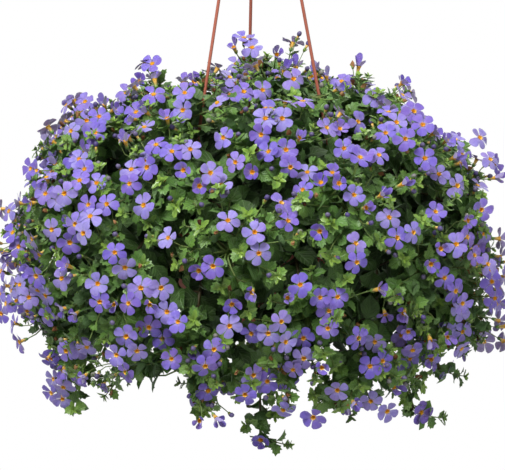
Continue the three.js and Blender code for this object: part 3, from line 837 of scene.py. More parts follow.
class Trail:
    """A long stem that hangs down under the dome's hem."""

    def __init__(self, number):
        azimuth, ring, level = TRAILS[number]
        self.number = number
        root = polar_point(TRAIL_ROOT_RING, azimuth, -SOIL_DROP - ROOT_DEPTH)
        collar = Vector((*root.xy, -SOIL_DROP))
        throat = polar_point(TRAIL_THROAT_RING, azimuth, TRAIL_THROAT_LEVEL)
        rise = polar_point(TRAIL_ROOT_RING + STEM_LEAN, azimuth, STEM_CREST)
        over = polar_point(TRAIL_THROAT_RING - TRAIL_THROAT_BEND, azimuth, STEM_CREST - TRAIL_SAG)
        under = polar_point(TRAIL_THROAT_RING + TRAIL_THROAT_BEND, azimuth, TRAIL_THROAT_LEVEL - TRAIL_DROP)
        above_tip = polar_point(ring - TRAIL_FLARE, azimuth, level + TRAIL_PLUMB)
        tip = polar_point(ring, azimuth, level)
        rising = bent_line(collar, rise, over, throat, TRAIL_STEM.steps).points
        hanging = bent_line(throat, under, above_tip, tip, TRAIL_STEM.steps).points
        self.line = Line([root] + rising + hanging[1:])
        self.outward = polar_point(1, azimuth, 0)
        self.side = UP.cross(self.outward)
        self.heads = [self.head(i) for i in range(TRAIL_HEADS)]

    def head(self, i):
        foot = self.line.at(self.line.length - TRAIL_SPACING * (i + TRAIL_TIP_SHARE))[0]
        swing = 0 if i == 0 else (1 if i % 2 else -1)
        point = foot + self.side * swing * between(*TRAIL_ASIDE, chance(self.number, i, 8))
        point += self.outward * between(*TRAIL_OUT, chance(self.number, i, 9)) - UP * TRAIL_HANG
        return Head(HEADS + self.number * TRAIL_HEADS + i, point, foot, i % TRAIL_TUFT_EVERY == 1)

    def twig(self, i, key):
        """The line of a twig that leaves the trail's stem some way up from its end."""
        start, way = self.line.at(self.line.length - FIRST_TWIG - TWIG_SPACING * i)
        turn = math.radians(GOLDEN * i + TWIG_TRAIL_TURN * self.number)
        middle, most = TWIG_OUT
        out = self.side * math.cos(turn) + self.outward * (middle + math.sin(turn) * (most - middle))
        length = between(*TWIG_LENGTH, chance(key, 1, 73))
        tip = start + (out * TWIG_SPREAD + way * TWIG_DROP).normalized() * length
        first, last = TWIG_BENDS
        return bent_line(start, start + way * first * length, tip - out * last * length, tip, TWIG.steps)


def head_at(index):
    place = Place(index, HEADS, FIRST_HEAD_AZIMUTH)
    lift = BLOOM_LIFT * (chance(index, 0, 3) - BLOOM_SUNK_SHARE)
    shift = HEAD_SHIFT * (chance(index, 1, 3) - 0.5)
    return Head(index, place.point + place.normal * lift + polar_point(shift, place.azimuth + 90, 0))


def filler_tips():
    """The tips of the fillers that close the dome, and of the shoots at its hem."""
    for index, place, tip in FILLERS.tips():
        drift = polar_point(FILLER_DRIFT * lean(index, 5, FILLERS.draw), place.azimuth + 90, 0)
        yield index, drawn_aside(clear_of_rods(tip + drift, SHOOT_ROOM), TIP_BESIDE)
    for index in range(HEM_SHOOTS):
        azimuth = 360 * (index + HEM_UNEVEN * lean(index, 1, 37)) / HEM_SHOOTS
        degrees = between(*HEM_POLAR, chance(index, 2, 37))
        proud = between(*HEM_PROUD, chance(index, 3, 37))
        yield FILLERS.count + index, proud_point(azimuth, degrees, proud)


@functools.cache
def plant():
    """The sprays with all that grows from them, and the trails with their heads."""
    sprays = [Spray(index) for index in range(SPRAYS)]
    trails = [Trail(number) for number in range(len(TRAILS))]
    taken = [head for trail in trails for head in trail.heads]
    for index in range(HEADS):
        head = with_room(head_at(index), taken)
        if head:
            taken.append(head)
            nearest_spray(sprays, head.point).heads.append(head)
    for index, tip in filler_tips():
        tip = tip + out_of_dip(tip)
        nearest_spray(sprays, tip).fillers.append((index, tip))
    for first, shoots in ((0, INNER_SHOOTS), (INNER_SHOOTS.count, OLD_SHOOTS)):
        for index, place, tip in shoots.tips():
            nearest_spray(sprays, place.point).inner.append((first + index, tip))
    for index, sprig in enumerate(SPRIGS):
        tip = proud_point(*sprig)
        nearest_spray(sprays, tip).sprigs.append(Head(SPRIG_KEYS + index, tip))
    for head in taken:
        head.point = drawn_aside(head.point, BLOOM_ROOM)
    for spray in sprays:
        for head in spray.heads:
            head.point = head.point + out_of_dip(head.point)
    return sprays, trails


def nearest_spray(sprays, point):
    return min(sprays, key=lambda spray: (spray.point - point).length)


# Cuttings: single leaves and blooms, which are then set on the stems

GROWTH_SLOTS = ("stem", "leaf", "petal", "throat", "bud", "spent")


def new_cutting():
    cutting = bmesh.new()
    cutting.verts.layers.float.new("tint")
    cutting.loops.layers.uv.new("UVMap")
    return cutting


def mesh_of(cutting, name):
    mesh = bpy.data.meshes.new(name)
    cutting.to_mesh(mesh)
    cutting.free()
    return mesh


def dress_faces(cutting, slot):
    for face in cutting.faces:
        face.smooth = True
        face.material_index = GROWTH_SLOTS.index(slot) if slot else 0


BLADE_WELD = 0.02


def blade(outline, spine, slot, thickness):
    """A thin closed blade along +Y with its face up.

    The outline gives each station's distance from the base, half width, and how far its sides stand
    forward of its middle. The spine is a function that bends a point of the flat blade.
    """
    cutting = new_cutting()
    weld = thickness * BLADE_WELD
    last_station = len(outline) - 1
    bmesh.ops.create_grid(cutting, x_segments=2, y_segments=last_station, size=1)
    dress_faces(cutting, slot)
    uv = cutting.loops.layers.uv.active
    for face in cutting.faces:
        for loop in face.loops:
            loop[uv].uv = ((loop.vert.co.x + 1) / 2, (loop.vert.co.y + 1) / 2)
    for vert in cutting.verts:
        across = round(vert.co.x)
        along, half_width, forward = outline[round((vert.co.y + 1) / 2 * last_station)]
        vert.co = spine(across * half_width, along + abs(across) * forward)
    bmesh.ops.remove_doubles(cutting, verts=cutting.verts, dist=weld)
    sides = cutting.verts[:] + cutting.edges[:] + cutting.faces[:]
    copied = bmesh.ops.duplicate(cutting, geom=sides)["geom"]
    under = [one for one in copied if isinstance(one, bmesh.types.BMFace)]
    bmesh.ops.reverse_faces(cutting, faces=under)
    middle = {vert for face in under for vert in face.verts if not vert.is_boundary}
    bmesh.ops.translate(cutting, verts=list(middle), vec=(0, 0, -thickness))
    for face in under:
        for loop in face.loops:
            loop[uv].uv.x += 1
    rim = [edge for edge in cutting.edges if edge.is_boundary]
    for edge in rim:
        edge.smooth = False
    rim_verts = list({vert for edge in rim for vert in edge.verts})
    bmesh.ops.remove_doubles(cutting, verts=rim_verts, dist=weld)
    return cutting


def join(target, source, place=None):
    """Adds a cutting to another one, set at its place."""
    mesh = mesh_of(source, "joined")
    if place:
        mesh.transform(place)
    target.from_mesh(mesh)
    bpy.data.meshes.remove(mesh)


# Leaves, each a metre long: how they fold, curl, ripple and sway
LEAF_OUTLINE = (
    (0.0, 0.03, 0.0),
    (0.15, 0.05, 0.0),
    (0.3, 0.41, 0.02),
    (0.4, 0.33, -0.01),
    (0.53, 0.45, 0.06),
    (0.62, 0.29, -0.01),
    (0.75, 0.3, 0.07),
    (0.83, 0.15, 0.0),
    (1.0, 0.0, 0.0),
)
TIP_LEAF_OUTLINE = (
    (0.0, 0.07, 0.0),
    (0.38, 0.29, 0.03),
    (0.5, 0.19, 0.0),
    (0.72, 0.2, 0.06),
    (1.0, 0.0, 0.0),
)
INNER_LEAF_OUTLINE = (
    (0.0, 0.05, 0.0),
    (0.3, 0.36, 0.0),
    (0.5, 0.43, 0.05),
    (0.74, 0.3, 0.05),
    (1.0, 0.0, 0.0),
)
LEAF_THICKNESS = 0.02
LEAF_FOLD = (0.15, 0.55)
LEAF_CURL = (-0.05, 0.4)
LEAF_SHORTENING = 0.1
LEAF_RIPPLE = (0.025, 0.125)
LEAF_RIPPLES = 11
LEAF_SWAY = 0.12


def leaf_cutting(outline, number):
    """A leaf folded along its midrib and curled towards its tip."""
    fold = between(*LEAF_FOLD, chance(number, 1, 41))
    curl = between(*LEAF_CURL, chance(number, 2, 41))
    ripple = between(*LEAF_RIPPLE, chance(number, 3, 41))
    sway = LEAF_SWAY * lean(number, 4, 41)

    def spine(x, y):
        height = fold * abs(x) - curl * y * y + ripple * math.sin(LEAF_RIPPLES * y + number) * abs(x)
        return Vector((x + sway * y * y, y - LEAF_SHORTENING * curl * y * y, height))

    return blade(outline, spine, "leaf", LEAF_THICKNESS)


# Petals: how they cup, twist and sway, and how an open bloom and a closed one hold them
PETALS = 5
PETAL_OUTLINE = (
    (0.0, 0.12, 0.0),
    (0.27, 0.3, 0.0),
    (0.6, 0.46, 0.0),
    (0.86, 0.39, 0.0),
    (1.0, 0.17, -0.03),
)
PETAL_THICKNESS = 0.25 * MM
PETAL_CUP = 0.7
PETAL_TWIST = 0.4
PETAL_SWAY = 0.16
PETAL_LENGTH = (9.1 * MM, 10.6 * MM)
PETAL_FOOT = Matrix.Translation((0, 1.9 * MM, 0.2 * MM))
PETAL_UNEVEN_TURN = 8
CLOSED_LENGTH = 0.6
LIFT_CLOSED = 62
LIFT_OPEN = 12
LIFT_VARIETY = 17
DROOP_CLOSED = 0.35
DROOP_OPEN = 0.26
DROOP_VARIETY = 0.26


def petal(length, lift, droop, number):
    """A petal along +Y that starts at its throat, rises by a lift angle and droops at its tip."""
    cup = PETAL_CUP * lean(number, 1, 43)
    twist = PETAL_TWIST * lean(number, 2, 43)
    sway = PETAL_SWAY * lean(number, 3, 43)

    def spine(x, y):
        rise = math.tan(lift) * y - droop * y * y + cup * x * x + twist * x * y
        return Vector((x + sway * y * y, y * math.cos(lift), rise)) * length

    return blade(PETAL_OUTLINE, spine, "petal", PETAL_THICKNESS)


TURNED_WELD = 0.005 * MM


def turned(profile, steps, slot):
    """A closed body: a profile of (radius, level) pairs turned about the vertical axis."""
    cutting = new_cutting()
    verts = [cutting.verts.new((radius, 0, level)) for radius, level in profile]
    edges = [cutting.edges.new(pair) for pair in zip(verts, verts[1:])]
    bmesh.ops.spin(
        cutting,
        geom=verts + edges,
        cent=(0, 0, 0),
        axis=(0, 0, 1),
        angle=2 * math.pi,
        steps=steps,
        use_merge=True,
        use_duplicate=False,
    )
    bmesh.ops.remove_doubles(cutting, verts=cutting.verts, dist=TURNED_WELD)
    bmesh.ops.recalc_face_normals(cutting, faces=cutting.faces)
    dress_faces(cutting, slot)
    uv = cutting.loops.layers.uv.active
    top = max(radius for radius, _ in profile)
    low = min(level for _, level in profile)
    for face in cutting.faces:
        for loop in face.loops:
            loop[uv].uv = (loop.vert.co.xy.length / top, loop.vert.co.z - low)
    return cutting


# Calyx: the small green cup that a bloom or bud sits in, with pointed teeth
CALYX_RIM = -7.2 * MM
CALYX_PROFILE = ((0, -10.2 * MM), (1.5 * MM, -8.2 * MM), (1.6 * MM, CALYX_RIM), (0, -7 * MM))
CALYX_SIDES = 6
CALYX_SPREAD = 0.6
CALYX_TOOTH = 2.6 * MM


def calyx():
    cup = turned(CALYX_PROFILE, CALYX_SIDES, "leaf")
    for vert in cup.verts:
        number = round(math.degrees(math.atan2(vert.co.y, vert.co.x)) * CALYX_SIDES / 360)
        if abs(vert.co.z - CALYX_RIM) < SAME_LEVEL and number % 2:
            vert.co += Vector((vert.co.x * CALYX_SPREAD, vert.co.y * CALYX_SPREAD, CALYX_TOOTH))
    return cup


# Throat: a tube with a lobed mouth and the hollow in it, which its UV map sets apart by a length
THROAT_LIP = (2.7 * MM, 0.8 * MM)
THROAT_PROFILE = (
    (0, -2.6 * MM),
    (1.3 * MM, -1.8 * MM),
    THROAT_LIP,
    (1.9 * MM, -1.4 * MM),
    (1.1 * MM, -7.2 * MM),
    (0, -7.5 * MM),
)
THROAT_SIDES = 10
THROAT_HOLLOW = 10 * MM
THROAT_LENGTH = 8.3 * MM
THROAT_OVAL = Matrix.Diagonal((1.1, 0.95, 1, 1))
LOBE_NOTCH = 0.74
LOBE_REACH = (0.92, 1.08)


def throat(number):
    funnel = turned(THROAT_PROFILE, THROAT_SIDES, "throat")
    uv = funnel.loops.layers.uv.active
    for face in funnel.faces:
        if face.normal.z > 0.1:
            for loop in face.loops:
                loop[uv].uv.y += THROAT_HOLLOW
    lip = [vert for vert in funnel.verts if abs(vert.co.z - THROAT_LIP[1]) < SAME_LEVEL]
    for vert in lip:
        side = round(math.degrees(math.atan2(vert.co.y, vert.co.x)) * THROAT_SIDES / 360)
        vert.co.xy *= LOBE_NOTCH if side % 2 else between(*LOBE_REACH, chance(number, side, 44))
    for edge in funnel.edges:
        if all(vert in lip for vert in edge.verts):
            edge.smooth = False
    return funnel


def bloom_cutting(number, openness):
    """A bloom that faces +Z, with the mouth of its throat at the origin."""
    bloom = new_cutting()
    width = between(CLOSED_LENGTH, 1, openness)
    for k in range(PETALS):
        length = width * between(*PETAL_LENGTH, chance(number, k, 45))
        lift = between(LIFT_CLOSED, LIFT_OPEN, openness) + LIFT_VARIETY * lean(number, k, 46)
        droop = between(DROOP_CLOSED, DROOP_OPEN, openness) + DROOP_VARIETY * lean(number, k, 47)
        degrees = 360 / PETALS * k + PETAL_UNEVEN_TURN * lean(number, k, 48)
        place = Matrix.Rotation(math.radians(degrees), 4, "Z") @ PETAL_FOOT
        join(bloom, petal(length, math.radians(lift), droop, number * PETALS + k), place)
    join(bloom, throat(number), THROAT_OVAL)
    join(bloom, calyx())
    return bloom


# Buds, each a ball on a tube, set as an open bloom is
BUD_RADIUS = 2.7 * MM
BUD_CENTRE = Matrix.Translation((0, 0, 0.4 * MM))
BUD_SQUEEZE = (0.85, 1)
BUD_STRETCH = 1.1
BUD_TUBE = ((0, 0), (1.5 * MM, -1.6 * MM), (1.0 * MM, -7.2 * MM), (0, -7.5 * MM))
BUD_TUBE_SIDES = 5


def bud_cutting(number):
    bud = new_cutting()
    ball = new_cutting()
    bmesh.ops.create_uvsphere(ball, u_segments=7, v_segments=5, radius=BUD_RADIUS)
    dress_faces(ball, "bud")
    squeeze = Matrix.Diagonal((1, between(*BUD_SQUEEZE, chance(number, 1, 49)), BUD_STRETCH, 1))
    join(bud, ball, BUD_CENTRE @ squeeze)
    join(bud, turned(BUD_TUBE, BUD_TUBE_SIDES, "throat"))
    join(bud, calyx())
    return bud


# Spent blooms, each a crumpled brown rag in its calyx. Blender seeds its vector noise by the clock, so
# the noise is given a seed of its own, and the rags come out the same in each run.
RAG_RADIUS = 2.1 * MM
RAG_GRAIN = 2 * MM
RAG_SEED = 7
RAG_STRETCH = (1.4, 2.4)
RAG_CENTRE = Matrix.Translation((0, 0, -5 * MM))


def spent_cutting(number):
    spent = new_cutting()
    rag = new_cutting()
    bmesh.ops.create_icosphere(rag, subdivisions=1, radius=RAG_RADIUS)
    noise.seed_set(RAG_SEED)
    for vert in rag.verts:
        vert.co += noise.noise_vector(vert.co / RAG_GRAIN + Vector((number, 0, 0))) * RAG_RADIUS
        vert.co.z *= between(*RAG_STRETCH, number / 2)
    for face in rag.faces:
        face.material_index = GROWTH_SLOTS.index("spent")
    join(spent, rag, RAG_CENTRE)
    join(spent, calyx())
    return spent


CUP_OPENNESS = (0.1, 0.55)


@functools.cache
def cuttings():
    """Several of each leaf and bloom, made once."""
    kinds = {
        "leaf": [leaf_cutting(LEAF_OUTLINE, number) for number in range(6)],
        "tip_leaf": [leaf_cutting(TIP_LEAF_OUTLINE, number) for number in range(20, 24)],
        "inner_leaf": [leaf_cutting(INNER_LEAF_OUTLINE, number) for number in range(30, 34)],
        "bloom": [bloom_cutting(number, 1) for number in range(6)],
        "cup": [bloom_cutting(number + 10, between(*CUP_OPENNESS, number / 3)) for number in range(4)],
        "bud": [bud_cutting(number) for number in range(3)],
        "spent": [spent_cutting(number) for number in range(3)],
    }
    return {kind: [mesh_of(one, kind) for one in several] for kind, several in kinds.items()}


# Leaves on a stem: how a pair turns and rises, how a leaf strays, faces and changes in size and tint
PAIR_UNEVEN = 0.5
LEAF_RISE = (0.15, 0.85)
LEAF_OUTWARD = 0.2
LEAF_STRAY = 0.4
LEAF_FACE_OUT = 0.6
LEAF_FACE_UP = 0.5
LEAF_FACE_ALONG = 0.5
LEAF_FACE_STRAY = 1.3
LEAF_VARIETY = (0.8, 1.15)
LEAF_TINT_VARIETY = 0.12
LEAF_MIDDLE = 0.6

# Tufts of the youngest leaves: how they open, shrink and grow paler from the lowest pair to the top
TUFT_PAIRS = 3
TUFT_UNEVEN = 0.5
TUFT_OPENING = (0.35, 1.7)
TUFT_OPENING_VARIETY = 0.25
TUFT_LARGEST = 1.2
TUFT_SHRINK = 0.3
TUFT_VARIETY = (0.85, 1.15)
TUFT_RISE = 0.14
TUFT_FACE_ALONG = 1.2
TUFT_FACE_IN = 0.4
TUFT_PALER = 0.1


@dataclass(frozen=True)
class ShootKind:
    """How a kind of shoot looks: its round stem, the pairs of leaves along it, and the tuft at its tip.

    Radii, leaf sizes and leaf tints go from the foot to the tip. Leaves stand between two shares of the
    stem's length and may go on beyond it, but only if it is long enough. Their spacing is the usual one
    unless it is given. Their sizes are shares of a grown leaf's, and a tuft's is a share of a tip leaf's.
    """

    radii: tuple
    sides: int
    steps: int
    tint: float
    spacing: float = None
    beyond: float = 0
    leafy: tuple = None
    leafy_from: float = 0
    leaf: str = "leaf"
    leaf_sizes: tuple = None
    leaf_tints: tuple = None
    tuft_size: float = 0
    tuft_tint: float = 0
    tuft_sunk: float = 0


# Spray stems and inner shoots lie deep in the dome, and their lowest leaf tints give the darkest green,
# which is partly painted shade there
SPRAY_STEM = ShootKind(
    radii=(2.0 * MM, 1.7 * MM), sides=7, steps=12, tint=0.25, spacing=11 * MM,
    leafy=(0.3, 1), leaf="inner_leaf", leaf_sizes=(1.3, 1.2), leaf_tints=(0, 0.2),
)
INNER_SHOOT = ShootKind(
    radii=(1.1 * MM, 0.7 * MM), sides=4, steps=4, tint=0.15, spacing=10 * MM, beyond=6 * MM,
    leafy=(0.2, 1), leaf="inner_leaf", leaf_sizes=(1.3, 1.3), leaf_tints=(0, 0.2),
)
SIDE_SHOOT = ShootKind(
    radii=(1.2 * MM, 0.6 * MM), sides=5, steps=6, tint=0.45,
    leafy=(0.2, 0.97), leaf_sizes=(1, 0.75), leaf_tints=(0.1, 0.45),
    tuft_size=1, tuft_tint=0.62, tuft_sunk=2 * MM,
)
HEAD_STALK = ShootKind(
    radii=(0.9 * MM, 0.6 * MM), sides=5, steps=6, tint=0.55,
    leafy=(0.25, 0.8), leaf_sizes=(1, 0.75), leaf_tints=(0.2, 0.5),
)
BUNCH_STALK = ShootKind(
    radii=(0.6 * MM, 0.45 * MM), sides=4, steps=4, tint=0.5, spacing=14 * MM,
    leafy=(0.2, 0.6), leafy_from=22 * MM, leaf_sizes=(0.8, 0.6), leaf_tints=(0.3, 0.6),
)
FILLER_SHOOT = ShootKind(
    radii=(1.0 * MM, 0.5 * MM), sides=5, steps=6, tint=0.55,
    leafy=(0.35, 0.96), leaf_sizes=(1, 0.65), leaf_tints=(0.2, 0.6),
    tuft_size=1.05, tuft_tint=0.78, tuft_sunk=2 * MM,
)
BUD_STALK = ShootKind(radii=(0.5 * MM, 0.4 * MM), sides=4, steps=3, tint=0.6)
TRAIL_STEM = ShootKind(
    radii=(1.9 * MM, 1.1 * MM), sides=6, steps=12, tint=0.3, spacing=10.45 * MM,
    leafy=(0.35, 1), leaf_sizes=(1.05, 0.85), leaf_tints=(0.1, 0.5),
    tuft_size=1.2, tuft_tint=0.7,
)
TWIG = ShootKind(
    radii=(0.9 * MM, 0.5 * MM), sides=5, steps=5, tint=0.5,
    leafy=(0.25, 1), leaf_sizes=(0.95, 0.65), leaf_tints=(0.3, 0.7),
    tuft_size=1, tuft_tint=0.72,
)


def side_of(way, turn):
    """A direction at a right angle to a way, turned about it."""
    direction = way.orthogonal().normalized()
    direction.rotate(Quaternion(way, turn))
    return direction


class Growth:
    """The mesh of one spray or trail as it grows."""

    def __init__(self):
        self.stems = new_cutting()
        self.mesh = new_cutting()

    def stem(self, line, base_radius, tip_radius, sides, tint=0.4):
        """A round stem along a line, closed at both ends."""
        grown = self.stems
        before_count = len(grown.verts)
        count = len(line.points)
        ways = [line.points[min(i + 1, count - 1)] - line.points[max(i - 1, 0)] for i in range(count)]
        turn = ways[0].to_track_quat("Z", "Y")
        place = Matrix.LocRotScale(line.points[0], turn, [base_radius] * 3)
        foot = bmesh.ops.create_circle(grown, cap_ends=True, segments=sides, radius=1, matrix=place)
        edges = foot["verts"][0].link_faces[0].edges[:]
        for i in range(1, count):
            turn = ways[i - 1].rotation_difference(ways[i]) @ turn
            radius = between(base_radius, tip_radius, i / (count - 1))
            goal = Matrix.LocRotScale(line.points[i], turn, [radius] * 3)
            new = bmesh.ops.extrude_edge_only(grown, edges=edges)["geom"]
            ring = [one for one in new if isinstance(one, bmesh.types.BMVert)]
            edges = [one for one in new if isinstance(one, bmesh.types.BMEdge)]
            bmesh.ops.transform(grown, matrix=goal @ place.inverted(), verts=ring)
            place = goal
        bmesh.ops.edgeloop_fill(grown, edges=edges)
        grown.verts.ensure_lookup_table()
        layer = grown.verts.layers.float["tint"]
        for i in range(before_count, len(grown.verts)):
            grown.verts[i][layer] = tint

    def shoot(self, line, kind, key):
        """A stem along a line with its leaves and tuft, as its kind has them."""
        self.stem(line, *kind.radii, kind.sides, kind.tint)
        if kind.leafy and line.length > kind.leafy_from:
            self.pairs(line, kind, key)
        if kind.tuft_size:
            end, way = line.at(line.length)
            self.tuft(end - way * kind.tuft_sunk, way, key, kind.tuft_size, kind.tuft_tint)

    def set(self, kind, choice, place, tint):
        """Sets a copy of a cutting at its place, with a tint from 0 to 1."""
        several = cuttings()[kind]
        copy = several[int(choice * len(several)) % len(several)].copy()
        copy.transform(place)
        copy.attributes["tint"].data.foreach_set("value", [tint] * len(copy.vertices))
        self.mesh.from_mesh(copy)
        bpy.data.meshes.remove(copy)

    def leaf(self, kind, base, way, face, length, tint, key):
        """A leaf from its base along a way, turned so that its upper side looks towards the face."""
        sideways = way.cross(face).normalized()
        upper = sideways.cross(way).normalized()
        turn = Matrix((sideways, way.normalized(), upper)).transposed()
        place = Matrix.LocRotScale(base, turn.to_quaternion(), [length] * 3)
        self.set(kind, chance(key, 1, 51), place, tint)

    def bloom(self, kind, point, facing, size, tint, key):
        """A bloom, cup, bud or spent bloom, with its size as a share of the usual one."""
        roll = math.pi + BLOOM_ROLL * lean(key, 2, 51)
        turn = facing.to_track_quat("Z", "Y") @ Quaternion((0, 0, 1), roll)
        scale = size * bpy.context.scene.plant_sizes.bloom_width / FULL_BLOOM_WIDTH
        self.set(kind, chance(key, 3, 51), Matrix.LocRotScale(point, turn, [scale] * 3), tint)

    def pairs(self, line, kind, key):
        """Pairs of leaves along a line, each pair turned by a right angle from the one below."""
        first, last = kind.leafy[0] * line.length, kind.leafy[1] * line.length + kind.beyond
        spacing = kind.spacing or bpy.context.scene.plant_sizes.pair_spacing
        count = max(1, round((last - first) / spacing))
        for i in range(count):
            share = (i + 0.5) / count
            point, way = line.at(min(between(first, last, share), line.length))
            turn = math.pi / 2 * i + PAIR_UNEVEN * lean(key, i, 52) + math.pi * chance(key, 0, 53)
            cross = side_of(way, turn)
            for side in (1, -1):
                leaf_key = key * KEYS_PER_SHOOT + i * 2 + (side > 0)
                self.paired_leaf(kind, share, point, way, cross * side, leaf_key)

    def paired_leaf(self, kind, share, point, way, cross, key):
        """One leaf of a pair at a share of its shoot, left out where it would hide a front rod."""
        outward = bush_normal(point)
        stray = LEAF_STRAY * wander(key, 55)
        rise = between(*LEAF_RISE, chance(key, 4, 54))
        direction = (cross + way * rise + outward * LEAF_OUTWARD + stray).normalized()
        face = LEAF_FACE_OUT * outward + LEAF_FACE_UP * UP + LEAF_FACE_ALONG * way + LEAF_FACE_STRAY * stray
        size = between(*kind.leaf_sizes, share) * between(*LEAF_VARIETY, chance(key, 5, 54))
        length = size * bpy.context.scene.plant_sizes.leaf_length
        if hides_rod(point + direction * LEAF_MIDDLE * length, LEAF_BESIDE):
            return
        tint = between(*kind.leaf_tints, share) + LEAF_TINT_VARIETY * lean(key, 6, 54)
        leaf = "inner_leaf" if share < HIDDEN_SHARE else kind.leaf
        self.leaf(leaf, point, direction, face, length, tint, key)

    def tuft(self, point, way, key, size, tint, pairs=TUFT_PAIRS):
        """The youngest leaves at a shoot's tip, packed in pairs round it."""
        size = size * bpy.context.scene.plant_sizes.tip_leaf_length
        for i in range(2 * pairs):
            level, side = divmod(i, 2)
            turn = math.pi * side + math.pi / 2 * level + TUFT_UNEVEN * lean(key, i, 57)
            outward = side_of(way, turn + math.pi * chance(key, 0, 58))
            opening = between(*TUFT_OPENING, level / pairs) + TUFT_OPENING_VARIETY * lean(key, i, 59)
            direction = (outward + way * opening).normalized()
            share = (TUFT_LARGEST - TUFT_SHRINK * level) * between(*TUFT_VARIETY, chance(key, i, 60))
            base = point + way * (TUFT_RISE * size * level)
            face = way * TUFT_FACE_ALONG - outward * TUFT_FACE_IN
            leaf_key = key * KEYS_PER_TUFT + i
            paler = tint + TUFT_PALER * level
            self.leaf("tip_leaf", base, direction, face, size * share, paler, leaf_key)

    def finish(self):
        bmesh.ops.recalc_face_normals(self.stems, faces=self.stems.faces)
        for face in self.stems.faces:
            face.smooth = True
        join(self.mesh, self.stems)
        return self.mesh


def shown(facing):
    """The way a bloom faces, drawn towards the side that the plant is seen from."""
    share = min(max(TURNED_FROM - facing.y, 0), 1)
    return (facing + FRONT * TURNED_SHARE * share).normalized()


def crowding(point):
    """From 0, where leaves show between the blooms, to 1, where the blooms crowd together."""
    return min(max(CROWD_MEAN + CROWD_CONTRAST * noise.noise(point * BUNCH_GRAIN), 0), 1)


def head_stalk(foot, neck, facing, outward):
    """The line of a head's stalk, which leaves its foot outward and meets the head from behind."""
    way, length = (neck - foot).normalized(), (neck - foot).length
    first_pull = foot + (way + STALK_OUTWARD * outward).normalized() * length * STALK_PULL
    return bent_line(foot, first_pull, neck - facing * length * STALK_LAST_PULL, neck, HEAD_STALK.steps)


def is_young(head, key):
    """Whether a head's bloom is half open still, as more of them are where few stand."""
    is_sparse = crowding(head.point) < SPARSE_CROWD
    is_late = is_sparse and chance(key, 12, 62) < SPARSE_YOUNG_SHARE
    return is_late or chance(head.index, 4, 3) < YOUNG_SHARE


def dress_head(growth, head, foot, outward, blooms):
    """A head's stalk with its leaves, its bloom or tuft, and the blooms and buds bunched beside it."""
    key = head.index + HEAD_KEYS
    facing = shown(facing_of(head, foot, outward))
    line = head_stalk(foot, head.point - facing * NECK, facing, outward)
    growth.shoot(line, HEAD_STALK, key)
    if head.is_rosette:
        base = head.point - facing * ROSETTE_SUNK
        growth.tuft(base, facing, key, ROSETTE_SIZE, ROSETTE_TINT, ROSETTE_PAIRS)
        return
    if is_young(head, key):
        growth.bloom("cup", head.point, facing, CUP_SIZE, between(*CUP_TINTS, chance(key, 8, 62)), key)
    else:
        size = between(*BLOOM_SIZES, chance(key, 9, 62))
        tint = between(*BLOOM_TINTS, chance(key, 7, 62) ** TINT_POWER)
        growth.bloom("bloom", head.point, facing, size, tint, key)
    bunch(growth, head, line, facing, blooms)


def bunch(growth, head, line, facing, blooms):
    """The blooms, cups, buds and spent blooms that stand beside a head on stalks of their own."""
    crowd = crowding(head.point) * (CREST_CROWD if head.point.z > CREST_LEVEL else 1)
    for i in range(BUNCH_SIZE):
        key = head.index * KEYS_PER_HEAD + i
        way = side_of(facing, 2 * math.pi * (i + BUNCH_UNEVEN * lean(key, 2, 63)) / BUNCH_SIZE)
        is_left_out = chance(key, 1, 63) > BUNCH_LEAST + BUNCH_MORE * crowd
        hangs_low = head.point.z < BUNCH_HEM and way.z < BUNCH_RISE
        if is_left_out or hangs_low:
            continue
        point = bunch_point(head, way, key)
        kind = None if out_of_dip(point).length > 0 else bunch_kind(point, key, blooms)
        if kind:
            bunch_bloom(growth, kind, point, line, facing, way, key)


def bunch_point(head, way, key):
    """The place of a bunch's bloom, some way aside from its head and clear of the rods."""
    aside = between(*BUNCH_ASIDE, chance(key, 3, 63))
    depth = between(*BUNCH_DEPTH, chance(key, 4, 63))
    point = clear_of_rods(head.point + way * aside - bush_normal(head.point) * depth, SHOOT_ROOM)
    return drawn_aside(point, BUNCH_BESIDE)


def has_room(point, room, blooms):
    return all((point - other).length >= room + other_room for other, other_room in blooms)


def bunch_kind(point, key, blooms):
    """The kind of bloom that there is room for at a place, which it then takes, or nothing."""
    drawn = chance(key, 5, 63)
    kind, room = next((kind, room) for kind, up_to, room in BUNCH_KINDS if drawn < up_to)
    if not has_room(point, room, blooms):
        if chance(key, 10, 63) < TIGHT_BARE_SHARE:
            return None
        kind, room = ("bud" if chance(key, 11, 63) < TIGHT_BUD_SHARE else "spent"), TIGHT_ROOM
    if not has_room(point, room, blooms):
        return None
    blooms.append((point, room))
    return kind


def bunch_bloom(growth, kind, point, line, facing, way, key):
    """A bunch's bloom on a stalk that leaves the head's own stalk part of the way up."""
    leaning = facing * BUNCH_FACING + way * BUNCH_AWAY + bush_normal(point) * BUNCH_OUTWARD
    own_facing = shown((leaning + BUNCH_TILT * wander(key, 64)).normalized())
    start = line.at(line.length * between(*BUNCH_FOOT, chance(key, 6, 63)))[0]
    neck = point - own_facing * NECK
    pull = (neck - start).length * STALK_PULL
    first_pull = start + (way + BUNCH_ALONG * facing).normalized() * pull
    stalk = bent_line(start, first_pull, neck - own_facing * pull, neck, BUNCH_STALK.steps)
    growth.shoot(stalk, BUNCH_STALK, key + BUNCH_KEYS)
    tint = between(*BUNCH_TINTS, chance(key, 7, 63) ** TINT_POWER)
    if kind != "bloom":
        tint = between(*BUNCH_DEEP_TINTS, chance(key, 8, 63))
    size = between(*BUNCH_SIZES, chance(key, 9, 63))
    growth.bloom(kind, point, own_facing, size, tint, key + BUNCH_BLOOM_KEYS)


